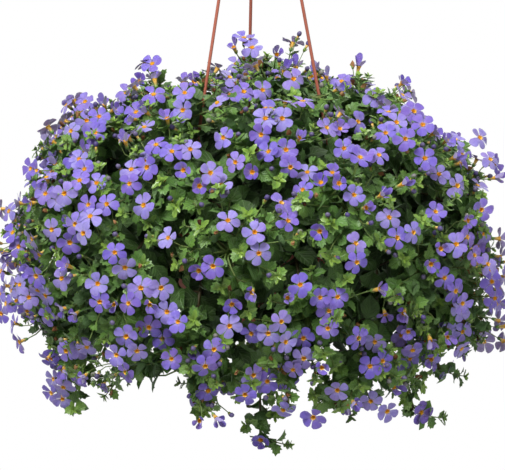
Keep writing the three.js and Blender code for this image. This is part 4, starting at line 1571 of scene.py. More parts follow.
def dress_filler(growth, start, index, tip):
    """A shoot that fills the dome between the heads, with a tuft of pale leaves and two buds at most."""
    outward = bush_normal(tip)
    pull = (tip - start).length * FILLER_PULL
    stray = FILLER_STRAY * wander(index, 71)
    first_pull = start + (outward + stray).normalized() * pull
    last_pull = tip - (outward + stray * FILLER_STRAIGHTENED).normalized() * pull
    line = bent_line(start, first_pull, last_pull, tip, FILLER_SHOOT.steps)
    growth.shoot(line, FILLER_SHOOT, index + FILLER_KEYS)
    way = line.at(line.length)[1]
    for number in range(2):
        if chance(index, 6 + 7 * number, 71) >= NO_BUD_SHARE:
            filler_bud(growth, tip, way, index, number)


def filler_bud(growth, tip, way, index, number):
    """A bud or spent bloom that stands beside a filler's tip."""
    side = side_of(way, math.pi * (number + chance(index, 7, 71)))
    point = tip + side * between(*BUD_ASIDE, chance(index, number, 72))
    point -= way * between(*BUD_BELOW, chance(index, number, 73))
    facing = shown((way + side * BUD_LEAN).normalized())
    neck = point - facing * NECK
    start, first_pull = tip - way * BUD_FOOT, tip - way * BUD_FOOT_PULL
    stalk = bent_line(start, first_pull, neck - facing * BUD_NECK_PULL, neck, BUD_STALK.steps)
    growth.shoot(stalk, BUD_STALK, index)
    kind = "spent" if chance(index, 8 + 7 * number, 71) < SPENT_SHARE else "bud"
    growth.bloom(kind, point, facing, 1, chance(index, 9 + 7 * number, 71), index + BUD_KEYS[number])


def dress_inner(growth, stem, index, tip):
    """An old shoot deep in the dome, with broad dark leaves, whose dark green is partly old leaves' own
    colour and partly painted shade.
    """
    feet = [stem.at(stem.length * share)[0] for share in INNER_FEET]
    start = min(feet, key=lambda point: (point - tip).length)
    outward = bush_normal(tip)
    pull = (tip - start).length * INNER_PULL
    line = bent_line(start, start + outward * pull / 2, tip - outward * pull, tip, INNER_SHOOT.steps)
    growth.shoot(line, INNER_SHOOT, index + INNER_KEYS)


def grow_spray(spray, blooms):
    growth = Growth()
    stem = spray.stem()
    growth.shoot(stem, SPRAY_STEM, spray.index)
    for index, tip in spray.inner:
        dress_inner(growth, stem, index, tip)
    for number in range(SIDE_SHOOTS):
        key = SIDE_SHOOT_KEYS + spray.index * SIDE_SHOOTS + number
        growth.shoot(spray.side_shoot(number), SIDE_SHOOT, key)
    for head in spray.heads + spray.sprigs:
        dress_head(growth, head, spray.node, bush_normal(head.point), blooms)
    for index, tip in spray.fillers:
        dress_filler(growth, spray.node, index, tip)
    return growth.finish()


def grow_trail(trail, blooms):
    growth = Growth()
    growth.shoot(trail.line, TRAIL_STEM, TRAIL_KEYS + trail.number)
    for i in range(TWIGS):
        key = TWIG_KEYS + trail.number * TWIGS + i
        growth.shoot(trail.twig(i, key), TWIG, key)
    for head in trail.heads:
        dress_head(growth, head, head.foot, trail.outward, blooms)
    return growth.finish()


# Materials


def fill(tree, node, inputs):
    """Sets a node's inputs, or links them where a socket is given, by name or number."""
    for key, value in inputs.items():
        if isinstance(value, bpy.types.NodeSocket):
            tree.links.new(value, node.inputs[key])
        else:
            node.inputs[key].default_value = value


def add(tree, kind, inputs=None, **settings):
    """A shader node with its settings and inputs."""
    node = tree.nodes.new(kind)
    for key, value in settings.items():
        setattr(node, key, value)
    fill(tree, node, inputs or {})
    return node


def maths(tree, operation, *values, clamp=False):
    node = add(tree, "ShaderNodeMath", dict(enumerate(values)), operation=operation, use_clamp=clamp)
    return node.outputs[0]


def mask(tree, value, start, steepness, strength):
    """A mask that is zero up to a start, and rises from there by a steepness up to its strength."""
    past = maths(tree, "SUBTRACT", value, start)
    return maths(tree, "MULTIPLY", maths(tree, "MULTIPLY", past, steepness, clamp=True), strength)


def blend_colour(tree, share, first, second):
    return add(tree, "ShaderNodeMix", {0: share, 6: first, 7: second}, data_type="RGBA").outputs[2]


def rgba(colour):
    return (*colour, 1)


def shade(colour, factor):
    return [channel * factor for channel in colour]


def tones(colour, steps):
    """Steps of one colour, each with the factor that darkens or lightens it."""
    return [(step, shade(colour, factor)) for step, factor in steps]


def toward(first, second, share):
    """The colour that lies a share of the way from one to another."""
    return [between(a, b, share) for a, b in zip(first, second)]


def colour_steps(tree, share, *stops):
    node = add(tree, "ShaderNodeValToRGB", {"Fac": share})
    elements = node.color_ramp.elements
    while len(elements) < len(stops):
        elements.new(0.5)
    for element, (position, colour) in zip(elements, stops):
        element.position, element.color = position, rgba(colour)
    return node.outputs["Color"]


def new_group(name, inputs, outputs):
    group = bpy.data.node_groups.new(name, "ShaderNodeTree")
    for label, kind, default in inputs:
        socket = group.interface.new_socket(label, in_out="INPUT", socket_type=kind)
        if default is not None:
            socket.default_value = default
    for label in outputs:
        group.interface.new_socket(label, in_out="OUTPUT", socket_type="NodeSocketFloat")
    return group, group.nodes.new("NodeGroupInput").outputs, group.nodes.new("NodeGroupOutput").inputs


@functools.cache
def tinted():
    """A tint from 0 to 1 that wanders a little over the surface."""
    group, given, result = new_group(
        "Wandering tint",
        [
            ("Position", "NodeSocketVector", None),
            ("Tint", "NodeSocketFloat", 0.5),
            ("Grain", "NodeSocketFloat", 90.0),
            ("Spread", "NodeSocketFloat", 0.3),
        ],
        ["Tint", "Mottle"],
    )
    inputs = {"Vector": given["Position"], "Scale": given["Grain"], "Detail": 3.0}
    patches = add(group, "ShaderNodeTexNoise", inputs)
    centred = maths(group, "SUBTRACT", patches.outputs[0], 0.5)
    shift = maths(group, "MULTIPLY", centred, given["Spread"])
    group.links.new(maths(group, "ADD", shift, given["Tint"], clamp=True), result["Tint"])
    group.links.new(patches.outputs[0], result["Mottle"])
    return group


@functools.cache
def veined():
    """The veins of a leaf or petal, from its UV map, and a mask of its underside."""
    group, given, result = new_group(
        "Veins",
        [
            ("UV", "NodeSocketVector", None),
            ("Count", "NodeSocketFloat", 5.0),
            ("Slant", "NodeSocketFloat", 0.35),
            ("Width", "NodeSocketFloat", 0.16),
        ],
        ["Veins", "Underside"],
    )
    parts = add(group, "ShaderNodeSeparateXYZ", {0: given["UV"]})
    across_blade = maths(group, "SUBTRACT", maths(group, "FRACT", parts.outputs[0]), 0.5)
    side = maths(group, "MULTIPLY", maths(group, "ABSOLUTE", across_blade), 2.0)
    lag = maths(group, "MULTIPLY", side, given["Slant"])
    swept = maths(group, "MULTIPLY", maths(group, "SUBTRACT", parts.outputs[1], lag), given["Count"])
    ridge = maths(group, "ABSOLUTE", maths(group, "SUBTRACT", maths(group, "FRACT", swept), 0.5))
    branch = maths(group, "SUBTRACT", 1.0, maths(group, "DIVIDE", ridge, given["Width"]), clamp=True)
    midrib = maths(group, "SUBTRACT", 1.0, maths(group, "DIVIDE", side, given["Width"]), clamp=True)
    group.links.new(maths(group, "MAXIMUM", branch, midrib), result["Veins"])
    group.links.new(maths(group, "GREATER_THAN", parts.outputs[0], 1.0), result["Underside"])
    return group


def new_material(name, roughness, specular=0.5):
    material = bpy.data.materials.new(name)
    material.use_nodes = True
    tree = material.node_tree
    shader = tree.nodes["Principled BSDF"]
    fill(tree, shader, {"Roughness": roughness, "Specular IOR Level": specular})
    place = tree.nodes.new("ShaderNodeTexCoord")
    return material, tree, shader, place


def placed_group(tree, group, inputs):
    return add(tree, "ShaderNodeGroup", inputs, node_tree=group).outputs


def mottle(tree, place, grain):
    """Cloudy patches of a grain."""
    return placed_group(tree, tinted(), {"Position": place.outputs["Object"], "Grain": grain})["Mottle"]


def tint_of(tree, place, grain, spread):
    """The tint that a leaf or bloom was set with, wandering a little over it."""
    tint = add(tree, "ShaderNodeAttribute", attribute_name="tint").outputs["Fac"]
    inputs = {"Position": place.outputs["Object"], "Tint": tint, "Grain": grain, "Spread": spread}
    return placed_group(tree, tinted(), inputs)


def veins_of(tree, place, count, slant, width):
    inputs = {"UV": place.outputs["UV"], "Count": count, "Slant": slant, "Width": width}
    return placed_group(tree, veined(), inputs)


def bumped(tree, shader, height, strength, distance):
    bump = add(tree, "ShaderNodeBump", {"Height": height, "Strength": strength, "Distance": distance})
    tree.links.new(bump.outputs[0], shader.inputs["Normal"])


SWELL = 2.0


def relief(tree, patches, lines, line_depth):
    """A height that swells with the mottling and sinks along the veins."""
    sunk = maths(tree, "MULTIPLY", lines, -line_depth)
    return maths(tree, "MULTIPLY_ADD", patches, SWELL, sunk)


# Leaf finish: its greens by the tint, and the strength of its veins, underside, gloss and relief
# The darkest green is partly old leaves' own colour and partly painted shade for the leaves deep in the
# dome
OLD_AND_SHADED_LEAF_DARKENING = 0.28
GROWN_LEAF_SHARE = 0.4
LEAF_STEPS = (0.0, 0.35, 0.68, 1.0)
VEIN_PALENESS = 0.5
VEIN_STRENGTH = 0.5
LEAF_BACK_SHARE = 0.4
OLD_LEAF_ROUGHNESS = 0.5
YOUNG_LEAF_GLOSS = 0.4
MOTTLE_ROUGHNESS = 0.3
LEAF_VEIN_DEPTH = 1.0


@functools.cache
def leaf_finish():
    """Old, grown and young greens by the tint, with pale veins and a paler underside. The darkest green, on
    the leaves deep in the dome, is partly painted shade.
    """
    sizes = bpy.context.scene.plant_sizes
    material, tree, shader, place = new_material("leaf", roughness=0.4, specular=0.62)
    fill(tree, shader, {"Sheen Weight": 0.08, "Sheen Roughness": 0.4})
    tint = tint_of(tree, place, grain=120.0, spread=0.4)
    veins = veins_of(tree, place, count=5.0, slant=0.4, width=0.14)
    leaf, tip = sizes.leaf_colour, sizes.tip_colour
    greens = shade(leaf, OLD_AND_SHADED_LEAF_DARKENING), leaf, toward(leaf, tip, GROWN_LEAF_SHARE), tip
    green = colour_steps(tree, tint["Tint"], *zip(LEAF_STEPS, greens))
    pale = blend_colour(tree, VEIN_PALENESS, green, rgba(VEIN_GREEN))
    lined = blend_colour(tree, maths(tree, "MULTIPLY", veins["Veins"], VEIN_STRENGTH), green, pale)
    under = blend_colour(tree, LEAF_BACK_SHARE, green, rgba(LEAF_BACK))
    dull = maths(tree, "MULTIPLY_ADD", tint["Tint"], -YOUNG_LEAF_GLOSS, OLD_LEAF_ROUGHNESS)
    roughness = maths(tree, "MULTIPLY_ADD", tint["Mottle"], MOTTLE_ROUGHNESS, dull)
    colour = blend_colour(tree, veins["Underside"], lined, under)
    fill(tree, shader, {"Base Color": colour, "Roughness": roughness})
    quilt = relief(tree, tint["Mottle"], veins["Veins"], LEAF_VEIN_DEPTH)
    bumped(tree, shader, quilt, strength=0.7, distance=0.8 * MM)
    return material


# Petal finish: its violets by the tint, and the strength of its halo, lines, underside and folds
PALE_PETAL_SHARE = 0.15
PETAL_STEPS = (0.0, 0.3, 1.0)
HALO_FADE = 3.4
HALO_STRENGTH = 0.4
LINE_STRENGTH = 0.16
PETAL_BACK_SHARE = 0.55
PETAL_VEIN_DEPTH = 0.6


def petal_violet(tree, place, tint):
    """A petal's violet, paler or deeper by its tint and rosier in broad patches."""
    sizes = bpy.context.scene.plant_sizes
    violets = toward(sizes.petal_colour, WHITE, PALE_PETAL_SHARE), sizes.petal_colour, sizes.young_colour
    rosy = mask(tree, mottle(tree, place, grain=32.0), start=0.42, steepness=3.5, strength=0.6)
    return blend_colour(tree, rosy, colour_steps(tree, tint, *zip(PETAL_STEPS, violets)), rgba(ROSY))


@functools.cache
def petal_finish():
    """Soft violet with fine lines, a pale halo round the throat and a paler underside."""
    material, tree, shader, place = new_material("petal", roughness=0.5, specular=0.35)
    soft = {"Sheen Weight": 0.3, "Sheen Roughness": 0.45, "Subsurface Weight": 0.2}
    fill(tree, shader, {**soft, "Subsurface Radius": (1.0, 0.7, 1.0), "Subsurface Scale": 1.5 * MM})
    tint = tint_of(tree, place, grain=130.0, spread=0.45)
    veins = veins_of(tree, place, count=4.0, slant=-1.2, width=0.2)
    along = add(tree, "ShaderNodeSeparateXYZ", {0: place.outputs["UV"]}).outputs[1]
    near_throat = maths(tree, "MULTIPLY_ADD", along, -HALO_FADE, 1.0, clamp=True)
    halo = maths(tree, "MULTIPLY", near_throat, HALO_STRENGTH)
    lit = blend_colour(tree, halo, petal_violet(tree, place, tint["Tint"]), rgba(PETAL_HALO))
    lines = maths(tree, "MULTIPLY", veins["Veins"], LINE_STRENGTH)
    lined = blend_colour(tree, lines, lit, rgba(bpy.context.scene.plant_sizes.young_colour))
    under = blend_colour(tree, PETAL_BACK_SHARE, lined, rgba(PETAL_BACK))
    fill(tree, shader, {"Base Color": blend_colour(tree, veins["Underside"], lined, under)})
    folds = relief(tree, tint["Mottle"], veins["Veins"], PETAL_VEIN_DEPTH)
    bumped(tree, shader, folds, strength=0.5, distance=0.6 * MM)
    return material


# Steps of the throat's colour by depth: outside, from the tube's foot through the tube to gold at the lip;
# inside the hollow, the darkest gold at its bottom as painted shade, then gold up to the mouth's yellow at
# the lip
THROAT_STEPS = (0.0, 0.25, 0.44, 0.78, 0.9, 1.0)


@functools.cache
def throat_finish():
    """Gold in the throat and down the tube, darkest at the bottom of the hollow as painted shade, with dark
    marks, from its UV map's second axis.
    """
    gold = bpy.context.scene.plant_sizes.throat_colour
    deep = [channel * share for channel, share in zip(gold, DEEP_GOLD)]
    material, tree, shader, place = new_material("throat", roughness=0.5)
    parts = add(tree, "ShaderNodeSeparateXYZ", {0: place.outputs["UV"]})
    depth = maths(tree, "MULTIPLY", parts.outputs[1], 1 / (THROAT_HOLLOW + THROAT_LENGTH))
    colours = TUBE_FOOT, TUBE, gold, deep, gold, MOUTH
    marks = mask(tree, mottle(tree, place, grain=520.0), start=0.54, steepness=7.0, strength=0.75)
    plain = colour_steps(tree, depth, *zip(THROAT_STEPS, colours))
    marked = blend_colour(tree, marks, plain, rgba(deep))
    fill(tree, shader, {"Base Color": marked})
    return material


def plain_finish(name, colours, grain, spread, roughness, specular=0.5):
    """A finish whose colour follows the tint alone."""
    material, tree, shader, place = new_material(name, roughness, specular)
    tint = tint_of(tree, place, grain, spread)
    fill(tree, shader, {"Base Color": colour_steps(tree, tint["Tint"], *colours)})
    return material


@functools.cache
def stem_finish():
    return plain_finish("stem", STEM_COLOURS, grain=70.0, spread=0.5, roughness=0.5, specular=0.4)


@functools.cache
def bud_finish():
    return plain_finish("bud", BUD_COLOURS, grain=300.0, spread=0.4, roughness=0.55)


@functools.cache
def spent_finish():
    return plain_finish("spent bloom", SPENT_COLOURS, grain=500.0, spread=0.9, roughness=0.75, specular=0.2)


def growth_finishes():
    """The finishes of a spray or trail, in the order of the growth's slots."""
    return [stem_finish(), leaf_finish(), petal_finish(), throat_finish(), bud_finish(), spent_finish()]


# Plastic: the steps of its tone with their factors, and how its roughness follows its grain
PLASTIC_TONES = ((0.2, 0.82), (0.8, 1.12))
GRAIN_ROUGHNESS = 0.25
GRAIN_GLOSS = 0.12


def plastic_finish(name, colour, roughness):
    """Moulded plastic with a fine grain and a slight change of tone."""
    material, tree, shader, place = new_material(name, roughness)
    inputs = {"Position": place.outputs["Object"], "Tint": 0.5, "Grain": 28.0, "Spread": 0.7}
    tone = placed_group(tree, tinted(), inputs)["Tint"]
    fine = mottle(tree, place, grain=1400.0)
    colours = colour_steps(tree, tone, *tones(colour, PLASTIC_TONES))
    dull = maths(tree, "MULTIPLY_ADD", fine, GRAIN_ROUGHNESS, roughness - GRAIN_GLOSS)
    fill(tree, shader, {"Base Color": colours, "Roughness": dull})
    bumped(tree, shader, fine, strength=0.15, distance=0.1 * MM)
    return material


# Soil: the steps of its tone with their factors, and how much its flecks add to the crumbs' relief
SOIL_TONES = ((0.1, 0.5), (0.6, 1), (0.95, 4))
FLECK_HEIGHT = 0.6


@functools.cache
def soil_finish():
    """Moist crumbs, from nearly black to pale flecks."""
    colour = bpy.context.scene.pot_sizes.soil_colour
    material, tree, shader, place = new_material("soil", roughness=0.95, specular=0.2)
    inputs = {"Position": place.outputs["Object"], "Tint": 0.5, "Grain": 450.0, "Spread": 1.6}
    crumbs = placed_group(tree, tinted(), inputs)
    flecks = add(tree, "ShaderNodeTexVoronoi", {"Vector": place.outputs["Object"], "Scale": 220.0})
    tone = colour_steps(tree, crumbs["Tint"], *tones(colour, SOIL_TONES))
    fill(tree, shader, {"Base Color": tone})
    rough = maths(tree, "MULTIPLY", flecks.outputs["Distance"], FLECK_HEIGHT)
    height = maths(tree, "ADD", crumbs["Mottle"], rough)
    bumped(tree, shader, height, strength=0.8, distance=1.5 * MM)
    return material


# Pieces


def to_piece(cutting, name, slot, materials, *nodes):
    """A finished piece at its own place, which stands for the given nodes of the frame."""
    bmesh.ops.translate(cutting, verts=cutting.verts, vec=(0, 0, RIM_LEVEL))
    mesh = mesh_of(cutting, name)
    for material in materials:
        mesh.materials.append(material)
    piece = bpy.data.objects.new(name, mesh)
    bpy.context.scene.collection.objects.link(piece)
    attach(piece, "root")
    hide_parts(*nodes)
    return piece


def placed_along(point, way):
    """The placement that sets a body's vertical axis at a point along a way."""
    return Matrix.LocRotScale(point, way.to_track_quat("Z", "Y"), None)


def rod_between(start, end, radius, sides):
    """A plain closed cylinder from one point to another."""
    rod = new_cutting()
    way = end - start
    place = placed_along((start + end) / 2, way)
    size = {"radius1": radius, "radius2": radius, "depth": way.length}
    bmesh.ops.create_cone(rod, cap_ends=True, segments=sides, matrix=place, **size)
    return rod


def cut(piece, cutters, operation):
    """Joins cutters to a piece, or takes them away from it."""
    bmesh.ops.translate(cutters, verts=cutters.verts, vec=(0, 0, RIM_LEVEL))
    tool = bpy.data.objects.new("cutter", mesh_of(cutters, "cutter"))
    bpy.context.scene.collection.objects.link(tool)
    change = piece.modifiers.new("cut", "BOOLEAN")
    change.operation, change.object, change.solver = operation, tool, "EXACT"
    bpy.context.view_layer.update()
    result = bpy.data.meshes.new_from_object(piece.evaluated_get(bpy.context.evaluated_depsgraph_get()))
    piece.modifiers.clear()
    result.name = piece.data.name
    piece.data = result
    bpy.data.objects.remove(tool)


def sharpen(piece, degrees):
    """Shades a piece smoothly, apart from edges that bend by more than an angle."""
    shaped = bmesh.new()
    shaped.from_mesh(piece.data)
    for face in shaped.faces:
        face.smooth = True
        face.material_index = 0
    for edge in shaped.edges:
        edge.smooth = edge.calc_face_angle(0) < math.radians(degrees)
    shaped.to_mesh(piece.data)
    shaped.free()


def pot_profile():
    """The pot's section, from the middle of its underside round the rim to the middle of its floor."""
    base, neck, inner = -POT_HEIGHT, RIM_RADIUS - RIM_STEP, RIM_RADIUS - RIM_WALL
    shoulder_in, shoulder_down = RIM_SHOULDER
    return [
        (0, base + FOOT),
        (BASE_RADIUS - FOOT_WIDTH - FOOT, base + FOOT),
        (BASE_RADIUS - FOOT_WIDTH, base),
        (BASE_RADIUS - EDGE_CHAMFER, base),
        (BASE_RADIUS, base + EDGE_CHAMFER),
        (neck, -RIM_BAND),
        (RIM_RADIUS, -RIM_BAND + EDGE_CHAMFER),
        (RIM_RADIUS, -RIM_ROUNDING),
        (RIM_RADIUS - shoulder_in, -shoulder_down),
        (RIM_RADIUS - RIM_ROUNDING, 0),
        (inner + EDGE_CHAMFER, 0),
        (inner, -EDGE_CHAMFER),
        (inner, -RIM_BAND + RIM_STEP),
        (neck - WALL, -RIM_BAND),
        (BASE_RADIUS - WALL, base + FOOT + WALL),
        (0, base + FOOT + WALL),
    ]


def pot_lugs(edge_radius):
    """The three lugs inside the rim that the rods hold the pot by."""
    lugs = new_cutting()
    for azimuth in ROD_AZIMUTHS:
        lug = new_cutting()
        bmesh.ops.create_cube(lug, size=1, matrix=Matrix.Diagonal((*LUG_SIZE, 1)))
        rounding = {"affect": "EDGES", "segments": 2, "profile": 0.5, "material": -1}
        bmesh.ops.bevel(lug, geom=lug.edges, offset=edge_radius, **rounding)
        place = Matrix.Rotation(math.radians(azimuth), 4, "Z")
        join(lugs, lug, place @ Matrix.Translation((0, -LUG_RING, -LUG_DROP - LUG_SIZE.z / 2)))
    return lugs


def pot_holes():
    """The rods' eyes in the lugs, and the drain holes in the floor."""
    holes = new_cutting()
    for azimuth in ROD_AZIMUTHS:
        join(holes, rod_between(*rod_ends(azimuth), ROD_RADIUS + CLEARANCE, EYE_SIDES))
    for k in range(DRAINS):
        centre = polar_point(DRAIN_RING, 360 / DRAINS * k, -POT_HEIGHT - MARGIN)
        join(holes, rod_between(centre, centre + UP * 2 * DRAIN_RADIUS, DRAIN_RADIUS, DRAIN_SIDES))
    return holes


class BuildPot(bpy.types.Operator):
    """Turns the pot and gives it its lugs, rod eyes and drain holes"""

    bl_idname = "bacopa.build_pot"
    bl_label = "Pot"

    def execute(self, context):
        sizes = context.scene.pot_sizes
        pot = turned(pot_profile(), sizes.turn_steps, None)
        finish = plastic_finish("pot plastic", sizes.pot_colour, roughness=0.5)
        piece = to_piece(pot, "pot_shell", "pot", [finish], "pot")
        cut(piece, pot_lugs(sizes.edge_radius), "UNION")
        cut(piece, pot_holes(), "DIFFERENCE")
        sharpen(piece, degrees=35)
        return {"FINISHED"}


class BuildSoil(bpy.types.Operator):
    """Fills the pot with crumbly soil"""

    bl_idname = "bacopa.build_soil"
    bl_label = "Soil"

    def execute(self, context):
        sizes = context.scene.pot_sizes
        base = -POT_HEIGHT + FOOT + WALL + CLEARANCE
        edge = RIM_RADIUS - RIM_STEP - SOIL_GAP
        top = [(edge * (SOIL_RINGS - i) / SOIL_RINGS, -SOIL_DROP) for i in range(SOIL_RINGS)]
        profile = [(0, base), (BASE_RADIUS - SOIL_GAP, base), *top, (0, -SOIL_DROP)]
        soil = turned(profile, sizes.turn_steps, None)
        for vert in soil.verts:
            if vert.co.z > -SOIL_DROP - MARGIN and vert.co.xy.length < edge - MARGIN:
                lumps = noise.noise(vert.co * LUMP_GRAIN) + CRUMB_SHARE * noise.noise(vert.co * CRUMB_GRAIN)
                vert.co.z += sizes.crumb_height * (min(lumps, CRUMB_TOP) - CRUMB_TOP) / 2
        bmesh.ops.recalc_face_normals(soil, faces=soil.faces)
        piece = to_piece(soil, "potting_soil", "soil", [soil_finish()], "soil")
        sharpen(piece, degrees=60)
        return {"FINISHED"}


def wire_along(points, radius):
    growth = Growth()
    growth.stem(Line(points), radius, radius, WIRE_SIDES)
    return growth.stems


def catmull_rom(points, steps):
    """Points along a smooth line that passes through all the given ones."""
    ends = [2 * points[0] - points[1], *points, 2 * points[-1] - points[-2]]
    smooth = []
    for before, a, b, after in zip(ends, ends[1:], ends[2:], ends[3:]):
        pull_a, pull_b = a + (b - before) / 6, b - (after - a) / 6
        smooth += geometry.interpolate_bezier(a, pull_a, pull_b, b, steps + 1)[:-1]
    return smooth + [points[-1]]


def bent_hook():
    """The hook's wire, from inside the hub round to its rounded tip."""
    ring = HOOK_RADIUS + HOOK_WIRE
    middle = HUB_HEIGHT + HOOK_NECK + ring
    arc = [math.radians(between(HOOK_START, HOOK_END, i / (HOOK_POINTS - 1))) for i in range(HOOK_POINTS)]
    neck = [Vector((0, 0, HUB_HEIGHT + HUB_CONE / 2)), Vector((0, 0, HUB_HEIGHT + HOOK_NECK / 2))]
    bend = [Vector((ring * math.cos(turn), 0, middle + ring * math.sin(turn))) for turn in arc]
    hook = wire_along(catmull_rom(neck + bend, HOOK_STEPS), HOOK_WIRE)
    ends = [face for face in hook.faces if len(face.verts) > 4]
    tip = max(ends, key=lambda face: face.calc_center_median().z)
    rounding = {"affect": "EDGES", "segments": 4, "profile": 0.5, "material": -1}
    bmesh.ops.bevel(hook, geom=tip.edges[:], offset=HOOK_TIP_ROUNDING, **rounding)
    return hook


def hub():
    low, edge = HUB_HEIGHT - HUB_LENGTH, HUB_RADIUS - HUB_ROUNDING
    profile = [
        (0, low),
        (edge, low),
        (HUB_RADIUS, low + HUB_ROUNDING),
        (HUB_RADIUS, HUB_HEIGHT - HUB_ROUNDING),
        (edge, HUB_HEIGHT + HUB_SHOULDER),
        (HOOK_WIRE + HUB_COLLAR, HUB_HEIGHT + HUB_CONE),
        (0, HUB_HEIGHT + HUB_CONE),
    ]
    return turned(profile, HUB_SIDES, None)


def knob():
    profile = [
        (0, 0),
        (KNOB_RADIUS - KNOB_ROUNDING, 0),
        (KNOB_RADIUS, KNOB_ROUNDING),
        (KNOB_RADIUS, KNOB_LENGTH - 2 * KNOB_ROUNDING),
        (KNOB_RADIUS - 1.5 * KNOB_ROUNDING, KNOB_LENGTH - KNOB_DOME),
        (0, KNOB_LENGTH),
    ]
    return turned(profile, KNOB_SIDES, None)


def rod_with_knob(azimuth):
    foot, top = rod_ends(azimuth)
    down = (foot - top).normalized()
    rod = wire_along([foot + down * KNOB_LENGTH / 2, foot.lerp(top, 0.5), top], ROD_RADIUS)
    join(rod, knob(), placed_along(foot, down))
    return rod


class BuildHanger(bpy.types.Operator):
    """Bends the hook, turns its hub and draws the three rods with their knobs"""

    bl_idname = "bacopa.build_hanger"
    bl_label = "Hook and rods"

    def execute(self, context):
        finish = plastic_finish("hanger plastic", context.scene.pot_sizes.hanger_colour, roughness=0.42)
        hook = bent_hook()
        join(hook, hub())
        parts = [("hook_and_hub", "hanger_hook", hook)]
        for number, azimuth in enumerate(ROD_AZIMUTHS, 1):
            parts.append((f"rod_{number}", f"hanger_rod_{number}", rod_with_knob(azimuth)))
        for name, node, part in parts:
            bmesh.ops.recalc_face_normals(part, faces=part.faces)
            sharpen(to_piece(part, name, "hanger", [finish], node), degrees=40)
        return {"FINISHED"}


@functools.cache
def blooms_there():
    """The places that the heads' own blooms take, with their room."""
    sprays, trails = plant()
    return [(head.point, BLOOM_SPACE) for grown in sprays + trails for head in grown.heads]


class GrowSprays(bpy.types.Operator):
    """Grows the leafy flowering sprays that fill the dome over the pot"""

    bl_idname = "bacopa.grow_sprays"
    bl_label = "Sprays"

    def execute(self, context):
        for spray in plant()[0]:
            number = f"{spray.index + 1:02d}"
            grown = grow_spray(spray, blooms_there())
            to_piece(grown, f"leafy_spray_{number}", "leaf", growth_finishes(), f"spray_{number}")
        return {"FINISHED"}


class GrowTrails(bpy.types.Operator):
    """Grows the stems that trail below the dome's hem"""

    bl_idname = "bacopa.grow_trails"
    bl_label = "Trails"

    def execute(self, context):
        for trail in plant()[1]:
            number = trail.number + 1
            grown = grow_trail(trail, blooms_there())
            to_piece(grown, f"leafy_trail_{number}", "leaf", growth_finishes(), f"trail_{number}")
        return {"FINISHED"}


# Stage


def set_camera(scene, sizes):
    """A camera far in front, which sees a pixel of the photo as its size at the pot's axis."""
    below_rim = (MIDDLE_ROW - RIM_ROW) * PIXEL / math.cos(sizes.camera_height)
    target = Vector((CAMERA_ASIDE, 0, RIM_LEVEL - below_rim))
    away = Vector((0, -math.cos(sizes.camera_height), math.sin(sizes.camera_height)))
    data = bpy.data.cameras.new("camera")
    data.sensor_width = SENSOR
    data.lens = SENSOR * sizes.camera_distance / (PICTURE_WIDTH * PIXEL)
    camera = bpy.data.objects.new("camera", data)
    camera.matrix_world = placed_along(target + away * sizes.camera_distance, away)
    scene.collection.objects.link(camera)
    scene.camera = camera


def floor_finish():
    """A pale floor that the camera sees as pure white."""
    material = bpy.data.materials.new("floor")
    material.use_nodes = True
    tree = material.node_tree
    shader = tree.nodes["Principled BSDF"]
    fill(tree, shader, {"Base Color": rgba(FLOOR_GREY), "Roughness": 0.9})
    white = add(tree, "ShaderNodeEmission", {"Color": rgba(WHITE), "Strength": 1.0})
    ray = add(tree, "ShaderNodeLightPath")
    inputs = {0: ray.outputs["Is Camera Ray"], 1: shader.outputs[0], 2: white.outputs[0]}
    seen = add(tree, "ShaderNodeMixShader", inputs)
    tree.links.new(seen.outputs[0], tree.nodes["Material Output"].inputs["Surface"])
    return material


def lay_floor(scene, level):
    bare = bmesh.new()
    bmesh.ops.create_grid(bare, x_segments=1, y_segments=1, size=FLOOR_SIZE)
    bmesh.ops.translate(bare, verts=bare.verts, vec=(0, 0, level))
    floor = bpy.data.objects.new("floor", mesh_of(bare, "floor"))
    floor.data.materials.append(floor_finish())
    scene.collection.objects.link(floor)


def set_world(scene):
    """A dim white world that looks bright white to the camera."""
    world = bpy.data.worlds.new("studio")
    world.use_nodes = True
    tree = world.node_tree
    ray = add(tree, "ShaderNodeLightPath")
    strength = maths(tree, "MULTIPLY_ADD", ray.outputs["Is Camera Ray"], WORLD_SEEN, WORLD_LIGHT)
    fill(tree, tree.nodes["Background"], {"Color": rgba(WHITE), "Strength": strength})
    scene.world = world
    scene.view_settings.view_transform = "Standard"


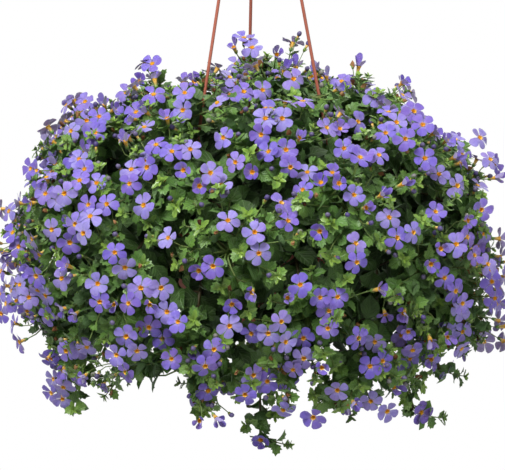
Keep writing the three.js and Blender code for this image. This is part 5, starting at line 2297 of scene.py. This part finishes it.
def hang_lamps(scene):
    """Soft lamps that all look at the pot's rim."""
    for name, place, size, power in LAMPS:
        lamp = bpy.data.lights.new(name, "AREA")
        lamp.size, lamp.energy = size, power
        light = bpy.data.objects.new(name, lamp)
        light.matrix_world = placed_along(place, place - Vector((0, 0, RIM_LEVEL)))
        scene.collection.objects.link(light)


class SetStage(bpy.types.Operator):
    """Sets the pale floor, the soft lights and the camera"""

    bl_idname = "bacopa.set_stage"
    bl_label = "Stage"

    def execute(self, context):
        scene = context.scene
        set_camera(scene, scene.stage_sizes)
        lay_floor(scene, scene.stage_sizes.floor_level)
        set_world(scene)
        hang_lamps(scene)
        return {"FINISHED"}


class BacopaPanel(bpy.types.Panel):
    """Lists the steps that build the hanging bacopa"""

    bl_idname = "VIEW3D_PT_bacopa"
    bl_label = "Hanging Bacopa"
    bl_space_type = "VIEW_3D"
    bl_region_type = "UI"
    bl_category = "Bacopa"

    def draw(self, context):
        scene = context.scene
        for group, operators in (
            (scene.pot_sizes, (BuildPot, BuildSoil, BuildHanger)),
            (scene.plant_sizes, (GrowSprays, GrowTrails)),
            (scene.stage_sizes, (SetStage,)),
        ):
            box = self.layout.box()
            for name in group.__annotations__:
                box.prop(group, name)
            for operator in operators:
                box.operator(operator.bl_idname)


CLASSES = (
    PotSizes,
    PlantSizes,
    StageSizes,
    BuildPot,
    BuildSoil,
    BuildHanger,
    GrowSprays,
    GrowTrails,
    SetStage,
    BacopaPanel,
)


def register():
    for one in CLASSES:
        bpy.utils.register_class(one)
    bpy.types.Scene.pot_sizes = bpy.props.PointerProperty(type=PotSizes)
    bpy.types.Scene.plant_sizes = bpy.props.PointerProperty(type=PlantSizes)
    bpy.types.Scene.stage_sizes = bpy.props.PointerProperty(type=StageSizes)


def unregister():
    for name in ("pot_sizes", "plant_sizes", "stage_sizes"):
        delattr(bpy.types.Scene, name)
    for one in reversed(CLASSES):
        bpy.utils.unregister_class(one)


def main():
    register()
    bpy.ops.bacopa.set_stage()
    bpy.ops.bacopa.build_pot()
    bpy.ops.bacopa.build_soil()
    bpy.ops.bacopa.build_hanger()
    bpy.ops.bacopa.grow_sprays()
    bpy.ops.bacopa.grow_trails()


if __name__ == "__main__":
    main()
